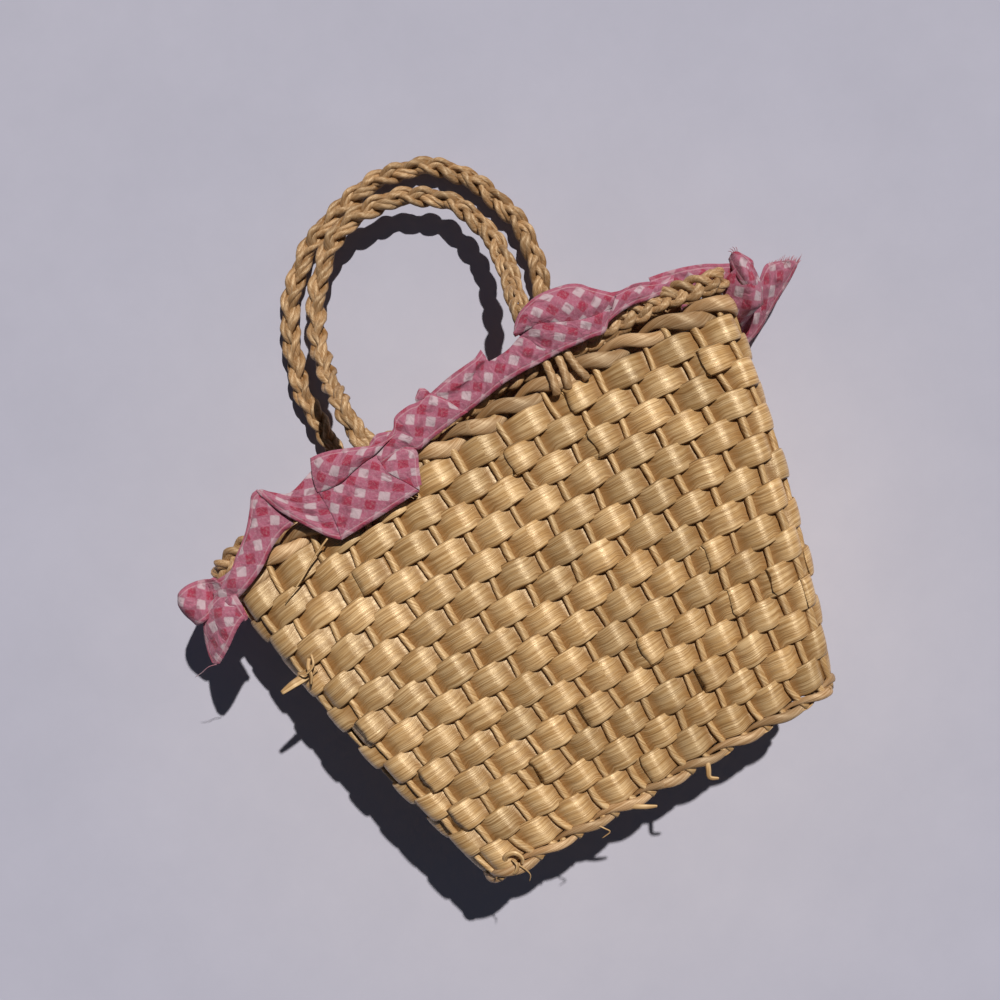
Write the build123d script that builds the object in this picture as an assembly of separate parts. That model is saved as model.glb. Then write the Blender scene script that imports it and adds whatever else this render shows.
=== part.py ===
from build123d import *
import os
from math import atan, cos, floor, pi, sin

# Mini tote bag of woven straw, lying on its back as it was photographed.
# +X runs along the rim, +Y from the base to the mouth, +Z up out of the front panel.
# The origin is the middle of a flat weave float on the back panel, in the plane that it lies on.
# All lengths are millimetres. "Rise" is the distance from the base towards the mouth, "turn" the share
# of the way round the bag from the middle of the front towards +X, and "out" the distance outwards
# from the middle of the wall.

# Body
BASE_WIDTH = 115.0
BASE_DEPTH = 46.0
RIM_WIDTH = 180.0
RIM_DEPTH = 25.0
RIM_LIFT = 6.5
RIM_SHIFT = 2.6
RIM_DROP_LEFT = 9.0
RIM_DROP_RIGHT = 6.0
SIDE_BULGE = 2.2
FRONT_BELLY = 3.0
CORNER_RADIUS = 7.0
FLOOR_THICKNESS = 2.7
CLEARANCE = 0.3
FLATNESS = 1e-6

# Weave: flat straw strips go round the bag, over and under upright twisted cords
WARP_COUNT = 48
ROW_COUNT = 15
ROW_HEIGHT = 7.3
CORD_WIDTH = 3.0
STRIP_CROWN = 1.8
STRIP_EDGE = 0.5
CROWN_INSET = 1.0
INNER_BANDS = 4

# Twined rope round the base, seated in a groove of the wall
ROPE_HEIGHT = 3.7
ROPE_DEPTH = 2.0
GROOVE_WALL = 0.9

# Twined row and plaited braid that finish the rim
TWINE_HEIGHT = 6.5
TWINE_DEPTH = 4.0
BRAID_HEIGHT = 7.6
BRAID_DEPTH = 4.8

# Braided handles and the strands that root them over the rim
HANDLE_WIDTH = 7.0
HANDLE_DEPTH = 4.4
HANDLE_PLAIT = 7.5
HINGE_HEIGHT = 13.0
FRONT_SPAN = 59.6
FRONT_HEIGHT = 53.5
FRONT_SHIFT = 2.4
FRONT_FALL = 24.5
BACK_SPAN = 81.0
BACK_HEIGHT = 61.9
BACK_SHIFT = 1.9
BACK_FALL = 1.5
FALL_CURVE = 2.6
STRAND_WIDTH = 2.0
STRAND_DEPTH = 1.8
STRAND_SPREAD = 3.8
STRAND_TUCK = 2.5

# Gingham ribbon
RIBBON_WIDTH = 13.0
RIBBON_THICKNESS = 0.5
RIBBON_PUFF = 4.0
TAIL_LENGTH = 20.0
KNOB_LENGTH = 7.0
LOOP_LENGTH = 9.0

# Shares that shape the forms
LIFT_START_SHARE = 0.55
CROWN_SPAN_SHARE = 0.15
RELIEF_SHARE = 0.24
ORIGIN_ROW = 6
ROUND_SHARES = (0.0, 0.7, 0.97)
FRONT_PATH_SHARES = (
    (-0.50, 0.00), (-0.505, 0.146), (-0.485, 0.355), (-0.43, 0.558), (-0.323, 0.755), (-0.124, 0.951),
    (0.06, 1.00), (0.263, 0.977), (0.465, 0.841), (0.563, 0.658), (0.592, 0.457), (0.576, 0.313),
    (0.541, 0.146), (0.50, 0.00),
)
BACK_PATH_SHARES = (
    (-0.50, 0.00), (-0.503, 0.131), (-0.494, 0.264), (-0.43, 0.512), (-0.361, 0.677), (-0.218, 0.847),
    (-0.086, 0.928), (0.128, 1.00), (0.329, 0.958), (0.442, 0.859), (0.518, 0.702), (0.568, 0.479),
    (0.575, 0.363), (0.545, 0.165), (0.50, 0.00),
)
# Ribbon stations: place along half the rim, level (-1 inside the wall, 0 over its top edge, 1 on the
# braid, 2 over the handle roots, 3 puffed out), lower and upper edge in ribbon widths from the rim's top
RIBBON_FRONT_SHARES = (
    (0.97, -1.0, 0.10, 0.75), (0.90, -1.2, 0.08, 0.50), (0.84, -1.4, -0.60, 0.34), (0.72, -1.4, -0.60, 0.38),
    (0.67, -1.4, 0.08, 0.56), (0.60, 0.4, 0.08, 0.62), (0.56, 2.0, 0.08, 0.66), (0.50, 3.0, -0.30, 0.70),
    (0.42, 2.8, -0.30, 0.70), (0.36, 2.6, -0.28, 0.68), (0.30, 2.2, -0.25, 0.62), (0.24, 2.1, -0.24, 0.44),
    (0.17, 2.4, -0.36, 0.68), (0.06, 2.1, -0.46, 0.46), (-0.06, 2.5, -0.46, 0.54), (-0.13, 2.2, -0.58, 0.20),
    (-0.20, 2.8, -1.30, 0.20), (-0.29, 2.6, -1.38, 0.25), (-0.38, 2.5, -1.42, 0.34), (-0.46, 2.9, -1.46, 0.44),
    (-0.51, 2.6, -1.20, 0.35), (-0.57, 2.1, -0.90, 0.30), (-0.68, 2.3, -0.66, 0.46), (-0.79, 1.8, -0.70, 0.25),
)
RIBBON_LOOP_SHARES = (
    (-0.225, 0.25, -0.60, 0.30), (-0.235, 0.65, -0.66, 0.20), (-0.245, 0.95, -0.72, 0.16),
    (-0.255, 1.00, -0.95, 0.15), (-0.265, 0.95, -1.60, 0.10), (-0.275, 0.70, -1.90, -0.30),
    (-0.285, 0.25, -1.20, -0.10),
)
RIBBON_BACK_SHARES = (
    (-0.80, 1.8, -0.50, 0.34), (-0.66, 2.0, -0.48, 0.40), (-0.50, 2.0, -0.48, 0.46), (-0.30, 2.0, -0.46, 0.50),
    (0.00, 2.0, -0.46, 0.46), (0.30, 2.0, -0.46, 0.48), (0.50, 2.0, -0.50, 0.44), (0.66, 2.0, -0.70, 0.24),
    (0.80, 1.8, -1.05, -0.10), (0.90, 1.5, -1.30, -0.34),
)
TAIL_SHARES = ((0.15, -1.30, -0.38), (0.60, -1.00, -0.16), (1.00, -0.62, 0.16))
KNOB_SHARES = ((1.00, -0.20, 0.75), (0.40, 0.10, 0.80))

# Levels worked out from the sizes
ROPE_RISE = CLEARANCE + ROPE_HEIGHT / 2
ROPE_OUT = STRIP_CROWN - ROPE_DEPTH / 2
GROOVE_OUT = STRIP_CROWN - ROPE_DEPTH - CLEARANCE
INSIDE_OUT = GROOVE_OUT - GROOVE_WALL
WEAVE_START = ROPE_HEIGHT + 2 * CLEARANCE
WEAVE_END = WEAVE_START + ROW_COUNT * ROW_HEIGHT
TWINE_RISE = WEAVE_END + CLEARANCE + TWINE_HEIGHT / 2
BRAID_RISE = TWINE_RISE + TWINE_HEIGHT / 2 + CLEARANCE + BRAID_HEIGHT / 2
RIM_TOP = BRAID_RISE + BRAID_HEIGHT / 2
BASE_Y = -(WEAVE_START + (ORIGIN_ROW + 1 / 2) * ROW_HEIGHT)
HINGE_Y = BASE_Y + RIM_TOP + HINGE_HEIGHT
SEAT_OUT = max(STRIP_CROWN, TWINE_DEPTH / 2, BRAID_DEPTH / 2) + CLEARANCE
STRAND_OUT = SEAT_OUT + STRAND_DEPTH / 2
RIBBON_OUT = SEAT_OUT + RIBBON_THICKNESS / 2
RIBBON_ROOT_OUT = RIBBON_OUT + STRAND_DEPTH + CLEARANCE


def wall_form(rise):
    """Half width, middle x, back z, front z and corner radius of the wall's middle at a rise."""
    share = min(max(rise / RIM_TOP, 0), 1)
    bulge = sin(pi * share)
    half_width = BASE_WIDTH / 2 - STRIP_CROWN + (RIM_WIDTH - BASE_WIDTH) / 2 * share + SIDE_BULGE * bulge
    lift_share = max(0, (share - LIFT_START_SHARE) / (1 - LIFT_START_SHARE))
    back = STRIP_CROWN + RIM_LIFT * lift_share ** 2
    base_front = BASE_DEPTH - STRIP_CROWN
    rim_front = RIM_LIFT + RIM_DEPTH - STRIP_CROWN
    front = base_front + (rim_front - base_front) * share + FRONT_BELLY * bulge
    radius = min(CORNER_RADIUS, (front - back) / 2)
    return half_width, RIM_SHIFT * share, back, front, radius


def rim_drop(x, rise):
    """How far a row sags below its height at the middle, towards the two ends of the bag."""
    half_width, middle, back, front, radius = wall_form(rise)
    drop = RIM_DROP_RIGHT if x > middle else RIM_DROP_LEFT
    share = min(max((rise - WEAVE_START) / (RIM_TOP - WEAVE_START), 0), 1)
    return drop * share * abs((x - middle) / half_width) ** 3


def wall_place(turn, rise, out):
    """Point of the wall: a rounded rectangle walked by length, moved outwards and set at its rise."""
    half_width, middle, back, front, radius = wall_form(rise)
    half_run = half_width - radius
    side_run = front - back - 2 * radius
    arc = pi * radius / 2
    length = (turn % 1) * (4 * half_run + 2 * side_run + 4 * arc)
    runs = (
        (half_run, (0, front), (1, 0), 0),
        (arc, (half_run, front - radius), None, 0),
        (side_run, (half_width, front - radius), (0, -1), 1),
        (arc, (half_run, back + radius), None, 1),
        (2 * half_run, (half_run, back), (-1, 0), 2),
        (arc, (-half_run, back + radius), None, 2),
        (side_run, (-half_width, back + radius), (0, 1), 3),
        (arc, (-half_run, front - radius), None, 3),
        (half_run, (-half_run, front), (1, 0), 4),
    )
    last = len(runs) - 1
    for number, (run, start, direction, quarter) in enumerate(runs):
        if length <= run or number == last:
            break
        length -= run
    angle = pi / 2 * quarter
    if direction is None:
        angle += length / radius
        start = (start[0] + radius * sin(angle), start[1] + radius * cos(angle))
        direction = (0, 0)
    x = middle + start[0] + direction[0] * length
    z = start[1] + direction[1] * length
    y = BASE_Y + rise - rim_drop(x, rise)
    return Vector(x + out * sin(angle), y, z + out * cos(angle))


def panel_place(x, rise, out, side):
    """Point beside the front panel (side 1) or the back panel (side -1), also above the rim."""
    half_width, middle, back, front, radius = wall_form(rise)
    z = front + out if side > 0 else back - out
    return Vector(x, BASE_Y + rise - rim_drop(x, min(rise, RIM_TOP)), z)


def cord_turns(rise):
    """Turns of both edges of every cord at a rise, in order round the bag."""
    half_width, middle, back, front, radius = wall_form(rise)
    round_length = 4 * (half_width - radius) + 2 * (front - back - 2 * radius) + 2 * pi * radius
    half_cord = CORD_WIDTH / 2 / round_length
    return [warp / WARP_COUNT + way * half_cord for warp in range(WARP_COUNT) for way in (-1, 1)]


def facets(*corners):
    """One flat face for corners in one plane, or a fan of triangles where they aren't."""
    if len(corners) > 3:
        loop = zip(corners, corners[1:] + corners[:1])
        normal = sum((corner.cross(following) for corner, following in loop), Vector()).normalized()
        flat = all(abs((corner - corners[0]).dot(normal)) < FLATNESS for corner in corners)
        if not flat:
            fan = zip(corners[1:-1], corners[2:])
            return [face for second, third in fan for face in facets(corners[0], second, third)]
    return [Face(Wire.make_polygon(corners, close=True))]


def closed_solid(faces):
    """Solid inside a closed set of faces."""
    return Solid(Shell(faces))


def tube(rings, closed):
    """Solid through a list of rings of points; an open one gets fans of triangles as its ends."""
    faces = []
    count = len(rings[0])
    pairs = list(zip(rings, rings[1:]))
    if closed:
        pairs.append((rings[-1], rings[0]))
    for ring, following in pairs:
        for k in range(count):
            n = (k + 1) % count
            faces += facets(ring[k], ring[n], following[n])
            faces += facets(ring[k], following[n], following[k])
    if not closed:
        for ring in (rings[0][::-1], rings[-1]):
            middle = sum(ring, Vector()) * (1 / count)
            for k in range(count):
                faces += facets(ring[k], ring[(k + 1) % count], middle)
    return closed_solid(faces)


def twist_relief(phase, angle):
    """Two strands twisted round each other: ridges that wind round the rope."""
    return 1 - RELIEF_SHARE * (1 - cos(2 * angle - 2 * pi * phase)) / 2


def plait_relief(phase, angle):
    """Plait of three strands: ridges that meet in a V along its middle."""
    return 1 - RELIEF_SHARE * (1 - cos(2 * pi * phase + pi * abs(cos(angle)))) / 2


def weave_row(row, lines, faces):
    """Faces of one row: a pillow for each strip that shows, a flat for each cord between them."""
    low, high = lines[row], lines[row + 1]
    rise = WEAVE_START + row * ROW_HEIGHT
    for warp in range(WARP_COUNT):
        left, right = 2 * warp, 2 * warp + 1
        if (warp + row) % 2:
            faces += facets(low[left], low[right], high[right], high[left])
            continue
        before, after = left - 1, (right + 1) % (2 * WARP_COUNT)
        crown = [
            wall_place((warp + way * CROWN_SPAN_SHARE) / WARP_COUNT, rise + height, STRIP_CROWN)
            for way, height in (
                (-1, CROWN_INSET),
                (1, CROWN_INSET),
                (1, ROW_HEIGHT - CROWN_INSET),
                (-1, ROW_HEIGHT - CROWN_INSET),
            )
        ]
        faces += facets(*crown)
        for edge, near, far in ((low, 0, 1), (high, 3, 2)):
            sides = (
                (edge[before], edge[left], crown[near]), (edge[left], crown[far], crown[near]),
                (edge[left], edge[right], crown[far]), (edge[right], edge[after], crown[far]),
            )
            for side in sides:
                faces += facets(*(side if edge is low else side[::-1]))
        faces += facets(low[before], crown[0], crown[3]) + facets(low[before], crown[3], high[before])
        faces += facets(crown[1], low[after], high[after]) + facets(crown[1], high[after], crown[2])


def woven_body():
    """Walls and base in one: woven outside, plain inside, with a groove for the base rope."""
    faces = []
    lines = []
    for row in range(ROW_COUNT + 1):
        rise = WEAVE_START + row * ROW_HEIGHT
        lines.append([wall_place(turn, rise, STRIP_EDGE) for turn in cord_turns(rise)])
    for row in range(ROW_COUNT):
        weave_row(row, lines, faces)
    shelf = [wall_place(turn, WEAVE_START, GROOVE_OUT) for turn in cord_turns(WEAVE_START)]
    foot = [wall_place(turn, 0, GROOVE_OUT) for turn in cord_turns(WEAVE_START)]
    band_height = (WEAVE_END - FLOOR_THICKNESS) / INNER_BANDS
    inner_rises = [FLOOR_THICKNESS + band_height * band for band in range(INNER_BANDS + 1)]
    inner = [
        [wall_place(warp / WARP_COUNT, rise, INSIDE_OUT) for warp in range(WARP_COUNT)] for rise in inner_rises
    ]
    for k in range(2 * WARP_COUNT):
        n = (k + 1) % (2 * WARP_COUNT)
        faces += facets(shelf[k], shelf[n], lines[0][n]) + facets(shelf[k], lines[0][n], lines[0][k])
        faces += facets(foot[k], foot[n], shelf[n]) + facets(foot[k], shelf[n], shelf[k])
    for low, high in zip(inner, inner[1:]):
        for k in range(WARP_COUNT):
            n = (k + 1) % WARP_COUNT
            faces += facets(low[k], high[n], low[n]) + facets(low[k], high[k], high[n])
    rim, mouth = lines[-1], inner[-1]
    for k in range(WARP_COUNT):
        n = (k + 1) % WARP_COUNT
        faces += facets(mouth[k], rim[2 * k], rim[2 * k + 1])
        faces += facets(mouth[k], rim[2 * k + 1], rim[2 * n]) + facets(mouth[k], rim[2 * n], mouth[n])
    faces += facets(*foot[::-1]) + facets(*inner[0])
    return closed_solid(faces)


def rim_ring(rise, out, height, depth, stations, corners, relief, ridges):
    """Closed rope that follows the wall at a rise, with its ridges."""
    rings = []
    for station in range(stations):
        turn = station / stations
        ring = []
        for corner in range(corners):
            angle = pi / 2 + 2 * pi * corner / corners
            size = relief(ridges * turn, angle)
            corner_rise = rise + height / 2 * cos(angle) * size
            corner_out = out + depth / 2 * sin(angle) * size
            ring.append(wall_place(turn, corner_rise, corner_out))
        rings.append(ring)
    return tube(rings, closed=True)


def handle(path_shares, span, height, shift, fall, hinge_z):
    """Arch of a plait of three strands that falls from its hinge to lie nearly flat at its top, with ends
    rounded about the line that it folds on."""
    def upward(share):
        angle = atan(fall * FALL_CURVE / height * (1 - share) ** (FALL_CURVE - 1))
        return Vector(0, cos(angle), -sin(angle))

    hinge = Vector(shift, HINGE_Y, hinge_z)
    points = []
    for x, y in path_shares:
        points.append(hinge + Vector(span * x, height * y, -fall * (1 - (1 - y) ** FALL_CURVE)))
    up = upward(0)
    path = Edge.make_spline(points, tangents=[up, -up])
    plaits = floor(path.length / HANDLE_PLAIT)
    stations = 2 * plaits
    corners = 6
    places = []
    for share in ROUND_SHARES[:0:-1]:
        places.append((points[0] - up * (HANDLE_DEPTH / 2 * share), up, (1 - share ** 2) ** 0.5, 0))
    for station in range(stations + 1):
        along = station / stations
        places.append((path.position_at(along), path.tangent_at(along), 1, plaits * along))
    for share in ROUND_SHARES[1:]:
        places.append((points[-1] - up * (HANDLE_DEPTH / 2 * share), -up, (1 - share ** 2) ** 0.5, plaits))
    rings = []
    for place, tangent, thinning, phase in places:
        local_up = upward(min(max((place.Y - HINGE_Y) / height, 0), 1))
        across = Vector(1, 0, 0).cross(local_up)
        side = across.cross(tangent).normalized()
        ring = []
        for corner in range(corners):
            angle = pi / 2 - 2 * pi * corner / corners
            size = plait_relief(phase, angle)
            width = HANDLE_WIDTH / 2 * cos(angle) * size
            ring.append(place + side * width + across * (HANDLE_DEPTH / 2 * sin(angle) * size * thinning))
        rings.append(ring[::-1])
    return tube(rings, closed=False)


def handle_roots(span, shift, side):
    """The three strands of each handle end, fanned over the rim braid and tucked under the weave's edge."""
    strands = []
    top = RIM_TOP + HINGE_HEIGHT - HANDLE_DEPTH / 2 - CLEARANCE
    rises = (WEAVE_END - STRAND_TUCK, WEAVE_END + TWINE_HEIGHT / 2, RIM_TOP, top)
    spreads = (STRAND_SPREAD, STRAND_SPREAD, STRAND_WIDTH + CLEARANCE, STRAND_WIDTH + CLEARANCE)
    corners = ((1, 0), (0, 1), (-1, 0), (0, -1))
    for end in (-1, 1):
        for number in (-1, 0, 1):
            rings = []
            for rise, spread in zip(rises, spreads):
                x = shift + end * span / 2 + number * spread
                rings.append([
                    panel_place(x + STRAND_WIDTH / 2 * wide, rise, STRAND_OUT + STRAND_DEPTH / 2 * deep, side)
                    for wide, deep in corners[::side]
                ])
            strands.append(tube(rings, closed=False))
    return Compound(strands)


def ribbon_out(level):
    """Distance outwards of the ribbon's middle at a level of the station tables."""
    if level <= 1:
        return RIBBON_OUT * level
    if level <= 2:
        return RIBBON_OUT + (RIBBON_ROOT_OUT - RIBBON_OUT) * (level - 1)
    return RIBBON_ROOT_OUT + RIBBON_PUFF * (level - 2)


def ribbon_station(low, high, normal):
    """Four corners of the ribbon's section: its lower and upper edge, on both faces."""
    half = normal * (RIBBON_THICKNESS / 2)
    return [low - half, low + half, high + half, high - half]


def panel_stations(shares, side):
    """Ribbon stations along the front or back panel, each edge at its own rise."""
    half_width, middle, back, front, radius = wall_form(RIM_TOP)
    stations = []
    for along, level, lower, upper in shares:
        x = middle + half_width * along
        low = panel_place(x, RIM_TOP + RIBBON_WIDTH * lower, ribbon_out(level), side)
        high = panel_place(x, RIM_TOP + RIBBON_WIDTH * upper, ribbon_out(level), side)
        stations.append(ribbon_station(low, high, Vector(0, 0, side)))
    return stations


def loop_stations():
    """Ribbon stations of the loose loop round the left end of the rim."""
    stations = []
    for turn, puff, lower, upper in RIBBON_LOOP_SHARES:
        place = wall_place(turn, RIM_TOP, RIBBON_OUT + LOOP_LENGTH * puff)
        normal = (place - wall_place(turn, RIM_TOP, 0)).normalized()
        low = place + Vector(0, RIBBON_WIDTH * lower, 0)
        high = place + Vector(0, RIBBON_WIDTH * upper, 0)
        stations.append(ribbon_station(low, high, normal))
    return stations


def end_stations(shares, length, level, side):
    """Ribbon stations of a loose end beyond the right end of the rim."""
    half_width, middle, back, front, radius = wall_form(RIM_TOP)
    right_end = middle + half_width + RIBBON_OUT
    start = panel_place(middle + half_width, RIM_TOP, ribbon_out(level), side)
    stations = []
    for along, lower, upper in shares:
        low = Vector(right_end + length * along, start.Y + RIBBON_WIDTH * lower, start.Z)
        high = Vector(right_end + length * along, start.Y + RIBBON_WIDTH * upper, start.Z)
        stations.append(ribbon_station(low, high, Vector(0, 0, side)))
    return stations


def gingham_ribbon():
    """Thin folded strip: a short end, inside the mouth, over the front, round the left end, back to a tail."""
    return tube(
        end_stations(KNOB_SHARES, KNOB_LENGTH, -1, 1)
        + panel_stations(RIBBON_FRONT_SHARES, 1)
        + loop_stations()
        + panel_stations(RIBBON_BACK_SHARES, -1)
        + end_stations(TAIL_SHARES, TAIL_LENGTH, 1, -1),
        closed=False,
    )


def main():
    back, front = wall_form(RIM_TOP)[2:4]
    back_hinge = back - STRAND_OUT
    front_hinge = front + STRAND_OUT
    parts = {
        "woven_body": woven_body(),
        "base_rope": rim_ring(ROPE_RISE, ROPE_OUT, ROPE_HEIGHT, ROPE_DEPTH, 72, 5, twist_relief, 24),
        "rim_twining": rim_ring(TWINE_RISE, 0, TWINE_HEIGHT, TWINE_DEPTH, 72, 6, twist_relief, 24),
        "rim_braid": rim_ring(BRAID_RISE, 0, BRAID_HEIGHT, BRAID_DEPTH, 96, 6, plait_relief, 48),
        "front_handle": handle(
            FRONT_PATH_SHARES, FRONT_SPAN, FRONT_HEIGHT, FRONT_SHIFT, FRONT_FALL, front_hinge
        ),
        "back_handle": handle(BACK_PATH_SHARES, BACK_SPAN, BACK_HEIGHT, BACK_SHIFT, BACK_FALL, back_hinge),
        "front_handle_roots": handle_roots(FRONT_SPAN, FRONT_SHIFT, 1),
        "back_handle_roots": handle_roots(BACK_SPAN, BACK_SHIFT, -1),
        "gingham_ribbon": gingham_ribbon(),
    }
    os.makedirs("parts", exist_ok=True)
    for name, part in parts.items():
        export_step(part, f"parts/{name}.step")


main()
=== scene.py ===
from math import pi, radians

import bpy
import numpy as np
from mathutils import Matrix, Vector


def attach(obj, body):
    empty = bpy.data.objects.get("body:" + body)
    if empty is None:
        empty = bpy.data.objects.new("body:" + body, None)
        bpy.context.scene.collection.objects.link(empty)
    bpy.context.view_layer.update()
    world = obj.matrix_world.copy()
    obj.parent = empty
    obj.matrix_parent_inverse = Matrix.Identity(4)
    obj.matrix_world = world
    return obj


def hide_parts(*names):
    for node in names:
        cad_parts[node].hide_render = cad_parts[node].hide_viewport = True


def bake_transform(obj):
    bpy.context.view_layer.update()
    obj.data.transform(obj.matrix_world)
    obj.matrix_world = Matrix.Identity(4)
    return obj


# Mini tote bag of woven straw with a gingham ribbon, lying on its back.
# Lengths in this file are millimetres in the frame's axes: x along the rim, y from the base to the mouth,
# z up out of the front panel. A mesh is turned into metres when it is made.
# "Rise" is the distance from the base, "turn" the share of the way round from the middle of the front,
# and "out" the distance outwards from the middle of the wall.

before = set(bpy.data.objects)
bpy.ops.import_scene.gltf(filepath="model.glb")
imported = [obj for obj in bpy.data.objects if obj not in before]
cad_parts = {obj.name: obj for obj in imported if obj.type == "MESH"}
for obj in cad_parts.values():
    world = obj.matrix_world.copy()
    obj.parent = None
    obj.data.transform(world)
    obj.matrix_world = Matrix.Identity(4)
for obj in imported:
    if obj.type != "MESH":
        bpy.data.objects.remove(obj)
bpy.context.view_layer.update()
MM = 0.001
chance = np.random.default_rng(11)

# Body, as in the part's solids
BASE_WIDTH = 115.0
BASE_DEPTH = 46.0
RIM_WIDTH = 180.0
RIM_DEPTH = 25.0
RIM_LIFT = 6.5
RIM_SHIFT = 2.6
RIM_DROP_LEFT = 9.0
RIM_DROP_RIGHT = 6.0
SIDE_BULGE = 2.2
FRONT_BELLY = 3.0
CORNER_RADIUS = 7.0
LIFT_START_SHARE = 0.55
WALL_MIDDLE = 1.8
WARP_COUNT = 48
ROW_COUNT = 15
ROW_HEIGHT = 7.3
WEAVE_START = 4.3
WEAVE_END = WEAVE_START + ROW_COUNT * ROW_HEIGHT
TWINE_HEIGHT = 6.5
BRAID_HEIGHT = 7.6
TWINE_RISE = WEAVE_END + 0.3 + TWINE_HEIGHT / 2
BRAID_RISE = TWINE_RISE + TWINE_HEIGHT / 2 + 0.3 + BRAID_HEIGHT / 2
RIM_TOP = BRAID_RISE + BRAID_HEIGHT / 2
BASE_Y = -(WEAVE_START + 6.5 * ROW_HEIGHT)

# Weave
STRIP_THICKNESS = 0.5
STRIP_SWING = 1.32
STRIP_BARREL = 0.38
STRIP_WIDTH = 8.3
STRIP_SPREAD = 0.45
STRIP_STATIONS = 12
TUCK_SPREAD = 2.7
TUCK_START_SHARE = 0.2
FLOAT_RAISE_SHARE = 0.2
FLOAT_FILL_SHARE = 0.14
FLOAT_WIDTH_SHARE = 0.05
FLOAT_SLANT = 0.3
FLOAT_LIFT = 0.22
SPLICE_COUNT = 46
SPLICE_LIFT = 0.62
SPLICE_SHIFT = 0.25
SPLICE_TEAR_SHARE = 0.10
CORD_RADIUS = 1.05
CORD_SWING = 0.15
CORD_TWIST = 10.0
CORD_START = 0.6
CORD_STATIONS = 78
CORD_LEAN_SHARE = 0.55
CORD_LEAN_HEIGHT = 9.0
BASE_STRIPS = 6
BASE_CORDS = 17
BASE_PANEL_RISE = 1.75
BASE_FILL_SHARE = 0.98
BASE_SPREAD_SHARE = 0.15

# Ropes round the base and the rim, and the braid
BASE_ROPE_RISE = 2.15
BASE_ROPE_HEIGHT = 4.2
BASE_ROPE_DEPTH = 3.6
BASE_ROPE_PERIODS = 12
TWINE_SPREAD = 0.9
TWINE_DEPTH = 4.6
TWINE_PERIODS = 14
TWINE_STATIONS = 26
TWINE_TWIST = 34.0
TWINE_SLANT_SHARE = 0.27
TWINE_SWING_SHARE = 0.34
BRAID_PERIODS = 24
BRAID_STATIONS = 20
BRAID_PLY_TURNS = 22
BRAID_LIFT = 0.5
BRAID_SWAY = 2.5
BRAID_DEPTH = 0.95
BRAID_PLY_RISE = 0.72
BRAID_PLY_OUT = 0.45
BRAID_RADIUS = 1.12
BRAID_FLAT_SHARE = 0.85
ROPE_TWIST = 11.0
PLY_LAG = 1.3

# Unevenness: size, count of waves along the way and shift from one row, cord or strand to the next
ROW_WANDERS = ((0.20, 3, 0.37), (0.14, 7, 0.61))
CORD_SWAYS = ((0.05, 1 / 47.0, 0.377), (0.04, 1 / 19.0, 0.61))
CORD_SWELLS = ((0.14, 1 / 31.0, 0.29),)
TWINE_SWELLS = ((0.10, 5, 0.37), (0.06, 11, 0))
BRAID_SWELLS = ((0.12, 17, 1 / 6),)
BRAID_TINTS = ((0.4, 9, 0.4),)

# Handles
HINGE_RISE = 13.0
HINGE_OUT = 3.6
HINGE_Y = BASE_Y + RIM_TOP + HINGE_RISE
HANDLE_BEND = 9.0
HANDLE_STATIONS = 460
FRONT_SPAN = 59.6
FRONT_HEIGHT = 53.5
FRONT_SHIFT = 2.4
FRONT_FALL = 24.5
BACK_SPAN = 81.0
BACK_HEIGHT = 61.9
BACK_SHIFT = 1.9
BACK_FALL = 1.5
STRAND_RADIUS = 1.05
PLAIT_SWAY = 1.75
PLAIT_DEPTH = 1.0
PLAIT_PERIOD = 23.0
PLY_OFFSET = 0.78
PLY_PERIOD = 19.0
PLY_FLAT_SHARE = 0.9
PLY_DEPTH_SHARE = 0.6
FALL_CURVE = 2.6
ROOT_RADIUS = 1.35
ROOT_TWIST = 8.0
ROOT_FLAT_SHARE = 0.85
LOBE_COUNT = 3
LOBE_SHARE = 0.06

# Ribbon
CHECK_SIZE = 3.2
RIBBON_THICKNESS = 0.2
RIBBON_RIPPLE = 0.3
RIBBON_ROWS = 17
RIBBON_COLUMNS = 64
# Ripples: size, length along the ribbon and length across it
RIPPLES = ((1.0, 1.9, 1.1), (0.7, 1.2, -1.7))
FINE_RIPPLE = (0.5, 0.55, 1.4)
FINE_RIPPLE_GAP = 2.1
# The ribbon is pressed towards the straw, up to the loop that hangs free at the left
STRAW_LEVEL = 35.1
STRAW_LEVEL_Y = 56.0
STRAW_FALL_SHARE = 0.075
PRESS_SHARE = 0.4
LOOP_X = -86.0
LOOP_EASE = 10.0

# UV maps: millimetres in a unit, and steps that give each row, base strip and stretch its own pattern
UV_UNIT = 10.0
ROW_UV_STEP = 61.0
BASE_UV_STEP = 83.0
STRETCH_UV_STEP = 7.7
NO_HEM = 99.0

# Stage
FLOOR_HALF = 4000.0
FLOOR_LEVEL = -0.75
CAMERA_HEIGHT = 360.0
CAMERA_PLACE = (-0.6, 43.05)
CAMERA_TURN = -29.6
SENSOR_WIDTH = 36.0
PICTURE_PIXELS = 1000
PIXELS_PER_MM = 3.0924
SUN_DIRECTION = (0.499, 0.451, 1.0)
SUN_ENERGY = 3.75
SUN_COLOUR = (1.0, 0.965, 0.91)
SUN_ANGLE = 1.2
SKY_COLOUR = (0.66, 0.76, 1.0, 1)
SKY_STRENGTH = 0.06


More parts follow.
